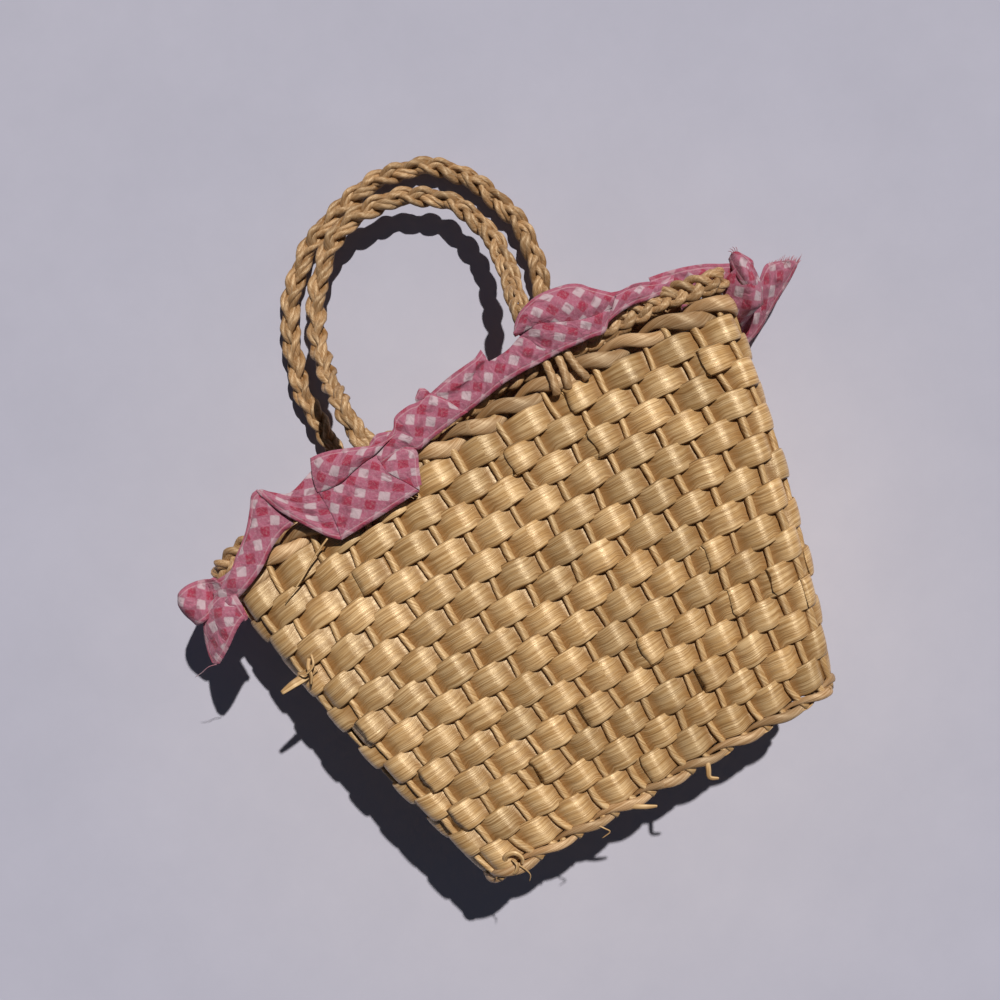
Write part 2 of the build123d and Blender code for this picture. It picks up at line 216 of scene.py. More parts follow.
def wall_form(rise):
    """Half width, middle x, back z, front z and corner radius of the wall's middle at each rise."""
    share = np.clip(rise / RIM_TOP, 0, 1)
    bulge = np.sin(pi * share)
    half_width = BASE_WIDTH / 2 - WALL_MIDDLE + (RIM_WIDTH - BASE_WIDTH) / 2 * share + SIDE_BULGE * bulge
    lift_share = np.clip((share - LIFT_START_SHARE) / (1 - LIFT_START_SHARE), 0, 1)
    back = WALL_MIDDLE + RIM_LIFT * lift_share ** 2
    base_front = BASE_DEPTH - WALL_MIDDLE
    rim_front = RIM_LIFT + RIM_DEPTH - WALL_MIDDLE
    front = base_front + (rim_front - base_front) * share + FRONT_BELLY * bulge
    radius = np.minimum(CORNER_RADIUS, (front - back) / 2)
    return half_width, RIM_SHIFT * share, back, front, radius


def rim_drop(x, rise):
    """How far a row sags towards the two ends of the bag: a cubic of the distance from the middle."""
    half_width, middle, back, front, radius = wall_form(rise)
    drop = np.where(x > middle, RIM_DROP_RIGHT, RIM_DROP_LEFT)
    share = np.clip((rise - WEAVE_START) / (RIM_TOP - WEAVE_START), 0, 1)
    return drop * share * np.abs((x - middle) / half_width) ** 3


def wall_length(rise):
    """Length of the wall's middle once round the bag at each rise."""
    half_width, middle, back, front, radius = wall_form(rise)
    return 4 * (half_width - radius) + 2 * (front - back - 2 * radius) + 2 * pi * radius


def wall_place(turn, rise, out):
    """Points of the wall: a rounded rectangle walked by length, moved outwards and set at its rise."""
    turn, rise, out = np.broadcast_arrays(turn, rise, out)
    half_width, middle, back, front, radius = wall_form(rise)
    half_run = half_width - radius
    side_run = front - back - 2 * radius
    arc = pi * radius / 2
    length = (turn % 1) * wall_length(rise)
    ends = np.cumsum([half_run, arc, side_run, arc, 2 * half_run, arc, side_run, arc], axis=0)
    starts = np.concatenate([np.zeros_like(ends[:1]), ends])
    run = np.sum(length >= ends, axis=0)
    along = length - np.take_along_axis(starts, run[None], axis=0)[0]
    angle = pi / 2 * (run // 2) + np.where(run % 2 == 1, along / radius, 0)
    straight = np.where(run % 2 == 0, along, 0)
    high = front - radius
    low = back + radius
    corner_x = np.choose(run, [0 * half_run] + 4 * [half_run] + 4 * [-half_run])
    corner_z = np.choose(run, 3 * [high] + 4 * [low] + 2 * [high])
    x = middle + corner_x + radius * np.sin(angle) + straight * np.cos(angle)
    z = corner_z + radius * np.cos(angle) - straight * np.sin(angle)
    y = BASE_Y + rise - rim_drop(x, rise)
    return np.stack([x + out * np.sin(angle), y, z + out * np.cos(angle)], axis=-1)


def panel_place(x, rise, out, side):
    """Points beside the front panel (side 1) or the back panel (side -1), also above the rim."""
    half_width, middle, back, front, radius = wall_form(rise)
    z = np.where(side > 0, front + out, back - out)
    y = BASE_Y + rise - rim_drop(x, np.minimum(rise, RIM_TOP))
    return np.stack(np.broadcast_arrays(x, y, z), axis=-1)


def waver(table, place, number):
    """Sum of sine waves along a place, each with its size, count of waves and shift for each number."""
    return sum(size * np.sin(2 * pi * (count * place + shift * number)) for size, count, shift in table)


def surface(name, points, along, across, material, wrap_along=False, wrap_round=True, **values):
    """Piece from batches of point grids (batch, along, round, 3): quads between neighbours, closed ends,
    a UV map in centimetres along and across, and named values for the material."""
    batches, stations, rounds = points.shape[:3]
    steps_along = stations if wrap_along else stations - 1
    steps_round = rounds if wrap_round else rounds - 1
    counts = (batches, steps_along, steps_round)
    batch, i, j = np.meshgrid(*[np.arange(count) for count in counts], indexing="ij")

    def corner(di, dj):
        return (batch * stations + (i + di) % stations) * rounds + (j + dj) % rounds

    def corner_uv(di, dj):
        along_part = along[batch, i + di, (j + dj) % along.shape[2]]
        return np.stack([along_part, across[batch, i + di, j + dj]], axis=-1)

    order = ((0, 0), (0, 1), (1, 1), (1, 0))
    quads = np.stack([corner(*step) for step in order], axis=-1).reshape(-1, 4)
    uv = np.stack([corner_uv(*step) for step in order], axis=-2).reshape(-1, 2)
    faces = quads.tolist()
    if wrap_round and not wrap_along:
        firsts = np.arange(batches)[:, None] * stations * rounds + np.arange(rounds)[::-1]
        lasts = (np.arange(batches)[:, None] * stations + stations - 1) * rounds + np.arange(rounds)
        faces += firsts.tolist() + lasts.tolist()
        first_uv = np.stack([along[:, 0, :rounds][:, ::-1], across[:, 0, :rounds][:, ::-1]], axis=-1)
        last_uv = np.stack([along[:, -1, :rounds], across[:, -1, :rounds]], axis=-1)
        uv = np.concatenate([uv, first_uv.reshape(-1, 2), last_uv.reshape(-1, 2)])
    mesh = bpy.data.meshes.new(name)
    mesh.from_pydata((points.reshape(-1, 3) * MM).tolist(), [], faces)
    layer = mesh.uv_layers.new(name="UVMap")
    layer.uv.foreach_set("vector", (uv / UV_UNIT).astype(np.float32).ravel())
    for label, value in values.items():
        data = np.broadcast_to(value, points.shape[:3]).astype(np.float32).ravel()
        mesh.attributes.new(label, "FLOAT", "POINT").data.foreach_set("value", data)
    mesh.shade_smooth()
    mesh.materials.append(material)
    piece = bpy.data.objects.new(name, mesh)
    bpy.context.scene.collection.objects.link(piece)
    return piece


def tubes(name, centres, normals, half_wide, half_deep, sides, twist, material, wrap_along=False, **values):
    """Tubes along batches of centre lines (batch, along, 3): an oval of two half sizes across each line,
    wide beside the given normal and deep along it; lobes and the UV map wind round by the twist length."""
    if wrap_along:
        ahead = np.roll(centres, -1, axis=1) - np.roll(centres, 1, axis=1)
        last = centres[:, :1]
    else:
        ahead = np.gradient(centres, axis=1)
        last = centres[:, -1:]
    ahead /= np.linalg.norm(ahead, axis=-1, keepdims=True)
    deep = normals - np.sum(normals * ahead, axis=-1, keepdims=True) * ahead
    deep /= np.linalg.norm(deep, axis=-1, keepdims=True)
    wide = np.cross(deep, ahead)
    step = np.linalg.norm(np.diff(centres, axis=1, append=last), axis=-1)
    travelled = np.concatenate([np.zeros_like(step[:, :1]), np.cumsum(step, axis=1)], axis=1)
    turns = travelled / twist if twist else 0 * travelled
    angle = 2 * pi * np.arange(sides) / sides
    lobes = 1.0
    if twist:
        lobes = 1 - LOBE_SHARE * (1 - np.cos(LOBE_COUNT * (angle - 2 * pi * turns[:, :-1, None])))
    shape_wide = (half_wide[..., None] * np.cos(angle) * lobes)[..., None] * wide[:, :, None]
    shape_deep = (half_deep[..., None] * np.sin(angle) * lobes)[..., None] * deep[:, :, None]
    points = centres[:, :, None] + shape_wide + shape_deep
    girth = pi * (half_wide.mean() + half_deep.mean())
    along = np.broadcast_to(travelled[..., None], travelled.shape + (sides + 1,))
    across = girth * (np.arange(sides + 1) / sides + turns[..., None])
    return surface(name, points, along, across, material, wrap_along=wrap_along, **values)


def set_inputs(material, node, inputs):
    """Gives a node's sockets their values, or links them to other nodes' outputs."""
    for socket, value in dict(inputs).items():
        if isinstance(value, bpy.types.NodeSocket):
            material.node_tree.links.new(value, node.inputs[socket])
        else:
            node.inputs[socket].default_value = value


def add_node(material, kind, inputs=(), **settings):
    """Shader node with its settings; inputs name a socket and a value or another node's output."""
    node = material.node_tree.nodes.new(kind)
    for label, value in settings.items():
        setattr(node, label, value)
    set_inputs(material, node, inputs)
    return node


def new_material(name):
    """Empty node material with its output and main shader."""
    material = bpy.data.materials.new(name)
    material.use_nodes = True
    return material, material.node_tree.nodes["Principled BSDF"]


def maths(material, operation, first, second=0.0):
    """Output of one Math node."""
    return add_node(material, "ShaderNodeMath", {0: first, 1: second}, operation=operation).outputs[0]


def times(material, first, second):
    """Product of two values."""
    return maths(material, "MULTIPLY", first, second)


def mixed(material, amount, first, second, blend="MIX"):
    """Output of a colour mix."""
    inputs = {0: amount, 6: first, 7: second}
    return add_node(material, "ShaderNodeMix", inputs, data_type="RGBA", blend_type=blend).outputs[2]


def stained(material, colour, stain, amount, strength):
    """Colour with a stain over it, by an amount and its full strength."""
    return mixed(material, times(material, amount, strength), colour, stain)


def ramp(material, amount, low, high):
    """Smooth share of the way from low to high, limited to 0 and 1."""
    inputs = {0: amount, 1: low, 2: high}
    return add_node(material, "ShaderNodeMapRange", inputs, interpolation_type="SMOOTHSTEP").outputs[0]


def straw_material(name, pale, tan, brown, streaks, gloss):
    """Straw: fibres run along the UV map, each float has its own tint, and dips get painted shade."""
    material, shader = new_material(name)
    coordinates = add_node(material, "ShaderNodeUVMap", uv_map="UVMap").outputs[0]
    tint = add_node(material, "ShaderNodeAttribute", attribute_name="tint").outputs["Fac"]
    sink = add_node(material, "ShaderNodeAttribute", attribute_name="sink").outputs["Fac"]
    shift = add_node(material, "ShaderNodeCombineXYZ", {"Z": times(material, tint, 37.0)}).outputs[0]
    shifted = {0: coordinates, 1: shift}
    place = add_node(material, "ShaderNodeVectorMath", shifted, operation="ADD").outputs[0]

    def fibre(stretch, fineness, detail):
        scale = {"Vector": place, "Scale": (stretch, fineness, 1.0)}
        grain = add_node(material, "ShaderNodeMapping", scale).outputs[0]
        noise = {"Vector": grain, "Scale": 1.0, "Detail": detail, "Roughness": 0.6}
        return add_node(material, "ShaderNodeTexNoise", noise).outputs["Fac"]

    fine = fibre(0.7, 34.0 * streaks, 3.0)
    broad = fibre(0.5, 13.0 * streaks, 2.0)
    cloud = fibre(0.9, 1.1, 2.0)
    colour = mixed(material, ramp(material, broad, 0.34, 0.66), tan, pale)
    colour = stained(material, colour, brown, ramp(material, fine, 0.58, 0.36), 0.70)
    colour = stained(material, colour, brown, ramp(material, cloud, 0.55, 0.75), 0.30)
    tone = add_node(material, "ShaderNodeMapRange", {0: tint, 1: 0.0, 2: 1.0, 3: 0.80, 4: 1.18}).outputs[0]
    grey = add_node(material, "ShaderNodeCombineColor", {0: tone, 1: tone, 2: tone}).outputs[0]
    colour = mixed(material, 1.0, colour, grey, "MULTIPLY")
    # painted shade: browner where a strand dips into the weave, where shade falls
    colour = stained(material, colour, brown, ramp(material, sink, 0.30, 1.0), 0.75)
    height = maths(material, "ADD", fine, times(material, broad, 0.8))
    bump = add_node(material, "ShaderNodeBump", {"Strength": 0.5, "Distance": 0.00025, "Height": height})
    shine = {0: fine, 1: 0.3, 2: 0.7, 3: gloss + 0.14, 4: gloss - 0.06}
    rough = add_node(material, "ShaderNodeMapRange", shine)
    tangent = add_node(material, "ShaderNodeTangent", direction_type="UV_MAP", uv_map="UVMap")
    set_inputs(material, shader, {
        "Base Color": colour,
        "Roughness": rough.outputs[0],
        "Normal": bump.outputs[0],
        "Tangent": tangent.outputs[0],
        "Anisotropic": 0.8,
        "Anisotropic Rotation": 0.25,
        "Specular IOR Level": 0.9,
        "Specular Tint": (1.0, 0.86, 0.62, 1),
    })
    return material


def gingham_material(name):
    """Bias gingham: two sets of stripes at 45 degrees to the edge, pale where neither runs and deep where
    both cross, with thin threads, painted crease shade, a doubled hem and its line of stitches."""
    material, shader = new_material(name)
    white = (0.54, 0.40, 0.44, 1)
    pink = (0.40, 0.120, 0.185, 1)
    deep = (0.34, 0.028, 0.066, 1)
    crease_shade = (0.22, 0.065, 0.10, 1)
    hem = (0.40, 0.09, 0.15, 1)
    stitch = (0.62, 0.40, 0.44, 1)
    coordinates = add_node(material, "ShaderNodeUVMap", uv_map="UVMap").outputs[0]
    bias = {"Vector": coordinates, "Rotation": (0, 0, pi / 4), "Scale": (UV_UNIT, UV_UNIT, 1.0)}
    turned = add_node(material, "ShaderNodeMapping", bias).outputs[0]
    parts = add_node(material, "ShaderNodeSeparateXYZ", {0: turned})
    edge = add_node(material, "ShaderNodeAttribute", attribute_name="edge").outputs["Fac"]

    def stripe(distance):
        wave = maths(material, "SINE", times(material, distance, pi / CHECK_SIZE))
        return ramp(material, wave, -0.55, 0.55)

    def noise(scale, detail, roughness, distortion):
        inputs = {"Vector": turned, "Scale": scale, "Detail": detail}
        inputs.update({"Roughness": roughness, "Distortion": distortion})
        return add_node(material, "ShaderNodeTexNoise", inputs).outputs["Fac"]

    def thread_ribs(direction):
        inputs = {"Vector": turned, "Scale": 1.3, "Distortion": 0.6}
        node = add_node(material, "ShaderNodeTexWave", inputs, wave_type="BANDS", bands_direction=direction)
        return node.outputs["Fac"]

    first = stripe(parts.outputs[0])
    second = stripe(parts.outputs[1])
    gaps = [maths(material, "SUBTRACT", 1.0, band) for band in (first, second)]
    bare = times(material, *gaps)
    crossed = times(material, first, second)
    colour = mixed(material, ramp(material, bare, 0.45, 1.0), pink, white)
    colour = mixed(material, ramp(material, crossed, 0.45, 1.0), colour, deep)
    threads = noise(1.1, 6.0, 0.8, 0.0)
    colour = stained(material, colour, white, ramp(material, threads, 0.45, 0.70), 0.40)
    crumple = noise(0.30, 3.0, 0.5, 1.2)
    # painted shade: darker patches from the crumple noise stand in for the shade of wrinkles; the same
    # noise bumps the cloth
    colour = stained(material, colour, crease_shade, ramp(material, crumple, 0.50, 0.30), 0.55)
    colour = stained(material, colour, hem, ramp(material, edge, 1.35, 1.15), 0.40)
    line = times(material, ramp(material, edge, 1.0, 1.15), ramp(material, edge, 1.6, 1.4))
    colour = stained(material, colour, stitch, line, 0.38)
    height = times(material, thread_ribs("X"), thread_ribs("Y"))
    height = maths(material, "ADD", height, times(material, line, -1.5))
    height = maths(material, "ADD", height, times(material, crumple, 11.0))
    bump = add_node(material, "ShaderNodeBump", {"Strength": 0.45, "Distance": 0.0002, "Height": height})
    set_inputs(material, shader, {
        "Base Color": colour,
        "Normal": bump.outputs[0],
        "Roughness": 0.82,
        "Sheen Weight": 0.15,
        "Specular IOR Level": 0.25,
    })
    return material


def floor_material():
    """Pale cloth-like floor with a faint cloudiness and a painted pool of light, lighter round the bag."""
    material, shader = new_material("pale_floor")
    coordinates = add_node(material, "ShaderNodeTexCoord").outputs["Object"]
    noise = {"Vector": coordinates, "Scale": 16.0, "Detail": 6.0, "Roughness": 0.7}
    cloud = add_node(material, "ShaderNodeTexNoise", noise).outputs["Fac"]
    far = add_node(material, "ShaderNodeVectorMath", {0: coordinates}, operation="LENGTH").outputs["Value"]
    near = mixed(material, cloud, (0.45, 0.44, 0.52, 1), (0.55, 0.53, 0.60, 1))
    away = mixed(material, cloud, (0.40, 0.40, 0.49, 1), (0.48, 0.475, 0.58, 1))
    # painted light: lighter near the bag than farther out
    colour = mixed(material, ramp(material, far, 0.05, 0.20), near, away)
    set_inputs(material, shader, {"Base Color": colour, "Roughness": 0.9})
    return material


PALE = (0.68, 0.465, 0.24, 1)
TAN = (0.50, 0.300, 0.125, 1)
BROWN = (0.235, 0.108, 0.032, 1)
ROPE_PALE = (0.55, 0.365, 0.205, 1)
ROPE_TAN = (0.39, 0.225, 0.105, 1)
STRIP_STRAW = straw_material("straw_strip", PALE, TAN, BROWN, 1.0, 0.35)
CORD_STRAW = straw_material("straw_cord", PALE, TAN, BROWN, 1.3, 0.46)
ROPE_STRAW = straw_material("straw_rope", ROPE_PALE, ROPE_TAN, BROWN, 1.5, 0.44)
GINGHAM = gingham_material("gingham_cotton")

# Section of a flat straw strip: places across it, outer face first, and whether each is on that face
SECTION_ACROSS = np.array([-1.0, -0.9, -0.55, 0.0, 0.55, 0.9, 1.0, 0.85, 0.0, -0.85])
SECTION_FACE = np.array([0.0, 1.0, 1.0, 1.0, 1.0, 1.0, 0.0, -1.0, -1.0, -1.0])


def float_profile(phase):
    """Swing of a strip over and under the cords: a cosine, filled out between them and less deep below."""
    wave = np.cos(phase)
    return FLOAT_RAISE_SHARE + (1 - FLOAT_RAISE_SHARE) * wave + FLOAT_FILL_SHARE * (1 - wave ** 2)


def strip_section(swing, half_width, lift):
    """Offsets of a strip's section along the rise and outwards: barrelled on a float by a cubic of the
    place across, flat where it is sunk."""
    barrel = STRIP_BARREL * np.clip(swing, -0.2, 1)[..., None] * (1 - np.abs(SECTION_ACROSS) ** 3)
    out = (STRIP_SWING * swing + lift)[..., None] + barrel + STRIP_THICKNESS / 2 * SECTION_FACE
    rise = half_width[..., None] * SECTION_ACROSS
    return rise, out


def strip_uv(length, rise):
    """Along and across for the UV map of strips; fibres draw together where a strip narrows."""
    section = np.append(SECTION_ACROSS, SECTION_ACROSS[0]) * STRIP_WIDTH / 2
    across = np.broadcast_to(section, rise.shape[:-1] + section.shape)
    along = np.broadcast_to(length[..., None], across.shape)
    return along, across


def weft_rows():
    """Rows of flat strips round the bag: each swings over and under the cords, and spreads out behind
    them, where its neighbours cover it."""
    stations = WARP_COUNT * STRIP_STATIONS
    row = np.arange(ROW_COUNT)[:, None]
    warp = np.arange(stations + 1)[None] / STRIP_STATIONS
    phase = pi * (warp + row)
    wave = np.cos(phase)
    over = np.clip(0.5 + 0.5 * wave, 0, 1)
    number = np.floor((warp + 1 + row % 2) / 2).astype(int) % (WARP_COUNT // 2)
    draws = chance.uniform(-1, 1, (4, ROW_COUNT, WARP_COUNT // 2))
    size, height, tilt, tint = draws[:, row, number]
    half_width = (STRIP_WIDTH + STRIP_SPREAD * wave) / 2 * (1 + FLOAT_WIDTH_SHARE * size * over)
    tucked = np.clip((-wave - TUCK_START_SHARE) / (1 - TUCK_START_SHARE), 0, 1)
    half_width = half_width + TUCK_SPREAD * tucked * ((row > 0) & (row < ROW_COUNT - 1))
    slant = FLOAT_SLANT * tilt * np.sin(phase) * np.where(wave > -0.2, 1, 0) * over
    rise_part, out = strip_section(float_profile(phase), half_width, FLOAT_LIFT * height * over)
    middle = WEAVE_START + (row + 0.5) * ROW_HEIGHT + slant + waver(ROW_WANDERS, warp / WARP_COUNT, row)
    rise = middle[..., None] + rise_part
    turn = warp[..., None] / WARP_COUNT
    points = wall_place(turn[:, :-1], rise[:, :-1], out[:, :-1])
    length = warp / WARP_COUNT * wall_length(middle[:, :1])
    along, across = strip_uv(length + ROW_UV_STEP * row, rise_part)
    shade = (0.5 + 0.5 * tint)[:, :-1, None]
    # painted shade on the parts of each strip that pass under the cords
    sink = (1 - over)[:, :-1, None]
    return surface("weft_strips", points, along, across, STRIP_STRAW, True, tint=shade, sink=sink)


def weft_splices():
    """Spliced floats: a new strip's cut end lies on the crown and follows the float down behind the next
    cord."""
    row = chance.integers(0, ROW_COUNT, SPLICE_COUNT)[:, None]
    crown = 2 * chance.integers(0, WARP_COUNT // 2, SPLICE_COUNT)[:, None] + row % 2
    start = chance.uniform(-0.55, -0.05, SPLICE_COUNT)[:, None]
    share = np.linspace(0, 1, 9)[None]
    warp = crown + start + (0.98 - start) * share
    phase = pi * (warp + row)
    wave = np.cos(phase)
    half_width = (STRIP_WIDTH + STRIP_SPREAD * wave) / 2 * (1.0 - 0.03 * share)
    lift = SPLICE_LIFT * (1 - 0.75 * share) * np.where(share == 0, 0.9, 1)
    rise_part, out = strip_section(float_profile(phase), half_width, lift)
    moved = chance.uniform(-SPLICE_SHIFT, SPLICE_SHIFT, SPLICE_COUNT)[:, None]
    middle = WEAVE_START + (row + 0.5) * ROW_HEIGHT + moved
    torn = chance.uniform(-1, 1, (SPLICE_COUNT, 1, len(SECTION_ACROSS)))
    ragged = SPLICE_TEAR_SHARE * torn * (1 - share[..., None]) ** 6
    points = wall_place((warp[..., None] + ragged) / WARP_COUNT, middle[..., None] + rise_part, out)
    along, across = strip_uv(warp / WARP_COUNT * wall_length(middle), rise_part)
    tint = chance.uniform(0.35, 1.0, SPLICE_COUNT)[:, None, None]
    # painted shade where the spliced end passes under the next cord
    sink = 0.5 - 0.5 * wave[..., None]
    return surface("weft_splices", points, along, across, STRIP_STRAW, tint=tint, sink=sink)


def warp_cords():
    """Upright twisted cords: nearly straight, pushed a little away from each strip that crosses them."""
    warp = np.arange(WARP_COUNT)[:, None]
    rise = np.linspace(CORD_START, TWINE_RISE, CORD_STATIONS)[None]
    row = (rise - WEAVE_START) / ROW_HEIGHT - 0.5
    crossing = np.cos(pi * (warp + row))
    out = -CORD_SWING * crossing
    lean = CORD_LEAN_SHARE * np.clip(1 - rise / CORD_LEAN_HEIGHT, 0, 1) ** 1.5
    turn = (warp + lean + waver(CORD_SWAYS, rise, warp)) / WARP_COUNT
    centres = wall_place(turn, rise, out)
    normals = wall_place(turn, rise, out + 1.0) - centres
    stout = chance.uniform(0.86, 1.2, (WARP_COUNT, 1)) * (1 + waver(CORD_SWELLS, rise, warp))
    thick = CORD_RADIUS * stout
    tint = chance.uniform(0.15, 0.85, (WARP_COUNT, 1, 1))
    # painted shade where a cord passes under a strip
    sink = 0.6 * np.clip(0.5 + 0.5 * crossing, 0, 1)[..., None]
    sizes = (thick, thick, 10, CORD_TWIST)
    return tubes("warp_cords", centres, normals, *sizes, CORD_STRAW, tint=tint, sink=sink)


def base_place(x, z, out):
    """Points of the base panel, outwards below it."""
    return np.stack(np.broadcast_arrays(x, BASE_Y + BASE_PANEL_RISE - out, z), axis=-1)


def base_weave():
    """Base panel: strips along the bag over and under the cords that cross from the front to the back."""
    half_width, middle, back, front, radius = [float(value) for value in wall_form(np.array(0.0))]
    pitch = 2 * half_width / BASE_CORDS
    depth = (front - back) / BASE_STRIPS
    strip = np.arange(BASE_STRIPS)[:, None]
    z = back + (strip + 0.5) * depth
    inset = np.clip(np.abs(z - (front + back) / 2) - ((front - back) / 2 - radius), 0, radius)
    reach = half_width - radius + np.sqrt(radius ** 2 - inset ** 2)
    share = np.linspace(-1, 1, BASE_CORDS * 8 + 1)[None]
    x = reach * share
    phase = pi * (x / pitch + strip)
    wave = np.cos(phase)
    half = depth * (BASE_FILL_SHARE + BASE_SPREAD_SHARE * wave) / 2
    rise_part, out = strip_section(float_profile(phase), half, 0 * x)
    points = base_place(x[..., None], z[..., None] - rise_part, out)
    along, across = strip_uv(x + BASE_UV_STEP * strip, rise_part)
    tint = chance.uniform(0, 1, (BASE_STRIPS, 1, 1))
    # painted shade where a base strip passes under a cord
    sink = (0.5 - 0.5 * wave)[..., None]
    panel = surface("base_strips", points, along, across, STRIP_STRAW, tint=tint, sink=sink)
    x = (np.arange(BASE_CORDS)[:, None] - (BASE_CORDS - 1) / 2) * pitch
    inset = np.clip(np.abs(x) - (half_width - radius), 0, radius)
    low = back + radius - np.sqrt(radius ** 2 - inset ** 2)
    z = low + (front + back - 2 * low) * np.linspace(0, 1, 40)[None]
    out = -CORD_SWING * np.cos(pi * (x / pitch + (z - back) / depth - 0.5))
    centres = base_place(x, z, out)
    normals = np.broadcast_to([0.0, -1.0, 0.0], centres.shape)
    thick = np.full(z.shape, CORD_RADIUS)
    sizes = (thick, thick, 8, CORD_TWIST)
    # the base cords carry an even amount of painted shade
    rods = tubes("base_cords", centres, normals, *sizes, CORD_STRAW, tint=0.5, sink=0.3)
    return panel, rods


def twined_ring(name, rise, height, depth, periods):
    """Two flat strands twined round the wall: each leaf is widest on its float and slants down as it
    goes."""
    stations = periods * TWINE_STATIONS
    strand = np.arange(2)[:, None]
    turn = np.arange(stations)[None] / stations
    angle = 2 * pi * periods * turn + pi * strand
    leaf = np.clip(0.5 + 0.5 * np.cos(angle - 0.45), 0, 1)
    uneven = 1 + waver(TWINE_SWELLS, turn, strand)
    slant = TWINE_SLANT_SHARE * height * np.sin(angle)
    centres = wall_place(turn, rise - slant, TWINE_SWING_SHARE * depth * np.cos(angle))
    normals = wall_place(turn, rise, 1.0 + 0 * angle) - wall_place(turn, rise, 0 * angle)
    half_wide = height * (0.13 + 0.22 * leaf ** 0.8) * uneven
    half_deep = depth * (0.14 + 0.14 * leaf) * uneven
    tint = (0.5 + 0.5 * np.sin(12.9 * np.floor(angle / (2 * pi) + 0.5) + 4.0 * strand))[..., None]
    # painted shade where a leaf dips inwards under the other strand
    sink = 0.75 * (1 - leaf)[..., None]
    sizes = (half_wide, half_deep, 14, TWINE_TWIST)
    return tubes(name, centres, normals, *sizes, ROPE_STRAW, True, tint=tint, sink=sink)


def plait(path, side, across, phase, sway, depth):
    """Centre lines of a plait of three strands on a path: each sways across it and dips twice a period."""
    strand = phase + 2 * pi * np.arange(3)[:, None] / 3
    swayed = path + (sway * np.sin(strand))[..., None] * side
    return swayed + (depth * np.sin(2 * strand))[..., None] * across


def rim_braid():
    """Plaited border along the top of the wall: three strands of two plies."""
    stations = BRAID_PERIODS * BRAID_STATIONS
    turn = np.arange(stations)[None] / stations
    number = np.arange(3)[:, None]
    strand = 2 * pi * BRAID_PERIODS * turn + 2 * pi * number / 3
    ply = 2 * pi * BRAID_PLY_TURNS * turn + PLY_LAG * number
    rise = BRAID_RISE + BRAID_LIFT + BRAID_SWAY * np.sin(strand)
    out = -BRAID_DEPTH * np.sin(2 * strand)
    above = BRAID_PLY_RISE * np.cos(ply)
    before = BRAID_PLY_OUT * np.sin(ply)
    rise = np.concatenate([rise + above, rise - above])
    out = np.concatenate([out + before, out - before])
    centres = wall_place(turn, rise, out)
    normals = wall_place(turn, rise, out + 1.0) - centres
    half = np.arange(6)[:, None]
    thick = BRAID_RADIUS * (1 + waver(BRAID_SWELLS, turn, half))
    tint = (0.5 + waver(BRAID_TINTS, turn, half))[..., None]
    # painted shade where a strand dips into the plait
    sink = 0.7 * (0.5 + 0.5 * np.sin(2 * np.concatenate([strand, strand])))[..., None]
    sizes = (thick, BRAID_FLAT_SHARE * thick, 10, ROPE_TWIST)
    return tubes("rim_plait", centres, normals, *sizes, ROPE_STRAW, True, tint=tint, sink=sink)


def smooth_path(points, count):
    """Points along a Catmull-Rom curve through a short list of places."""
    points = np.asarray(points, float)
    padded = np.concatenate([2 * points[:1] - points[1:2], points, 2 * points[-1:] - points[-2:-1]])
    at = np.linspace(0, len(points) - 1, count)
    first = np.clip(at.astype(int), 0, len(points) - 2)
    t = (at - first)[:, None]
    a, b, c, d = (padded[first + k] for k in range(4))
    square = (2 * a - 5 * b + 4 * c - d) * t ** 2
    cube = (3 * b - a - 3 * c + d) * t ** 3
    return 0.5 * (2 * b + (c - a) * t + square + cube)


def even_path(points, count):
    """The same curve with its points evenly spaced, and its length."""
    curve = smooth_path(points, 40 * len(points))
    travelled = np.concatenate([[0], np.cumsum(np.linalg.norm(np.diff(curve, axis=0), axis=1))])
    even = np.linspace(0, travelled[-1], count)
    places = [np.interp(even, travelled, curve[:, axis]) for axis in range(3)]
    return np.stack(places, axis=-1), travelled[-1]


# Handle arches: places across and up as shares of the span and height, as in the part's solids
FRONT_ARCH_SHARES = (
    (-0.50, -0.27), (-0.50, -0.14), (-0.50, 0.00), (-0.505, 0.146), (-0.485, 0.355), (-0.43, 0.558),
    (-0.323, 0.755), (-0.124, 0.951), (0.06, 1.00), (0.263, 0.977), (0.465, 0.841), (0.563, 0.658),
    (0.592, 0.457), (0.576, 0.313), (0.541, 0.146), (0.50, 0.00), (0.49, -0.14), (0.49, -0.27),
)
BACK_ARCH_SHARES = (
    (-0.50, -0.22), (-0.50, -0.11), (-0.50, 0.00), (-0.503, 0.131), (-0.494, 0.264), (-0.43, 0.512),
    (-0.361, 0.677), (-0.218, 0.847), (-0.086, 0.928), (0.128, 1.00), (0.329, 0.958), (0.442, 0.859),
    (0.518, 0.702), (0.568, 0.479), (0.575, 0.363), (0.545, 0.165), (0.50, 0.00), (0.49, -0.11),
    (0.49, -0.22),
)


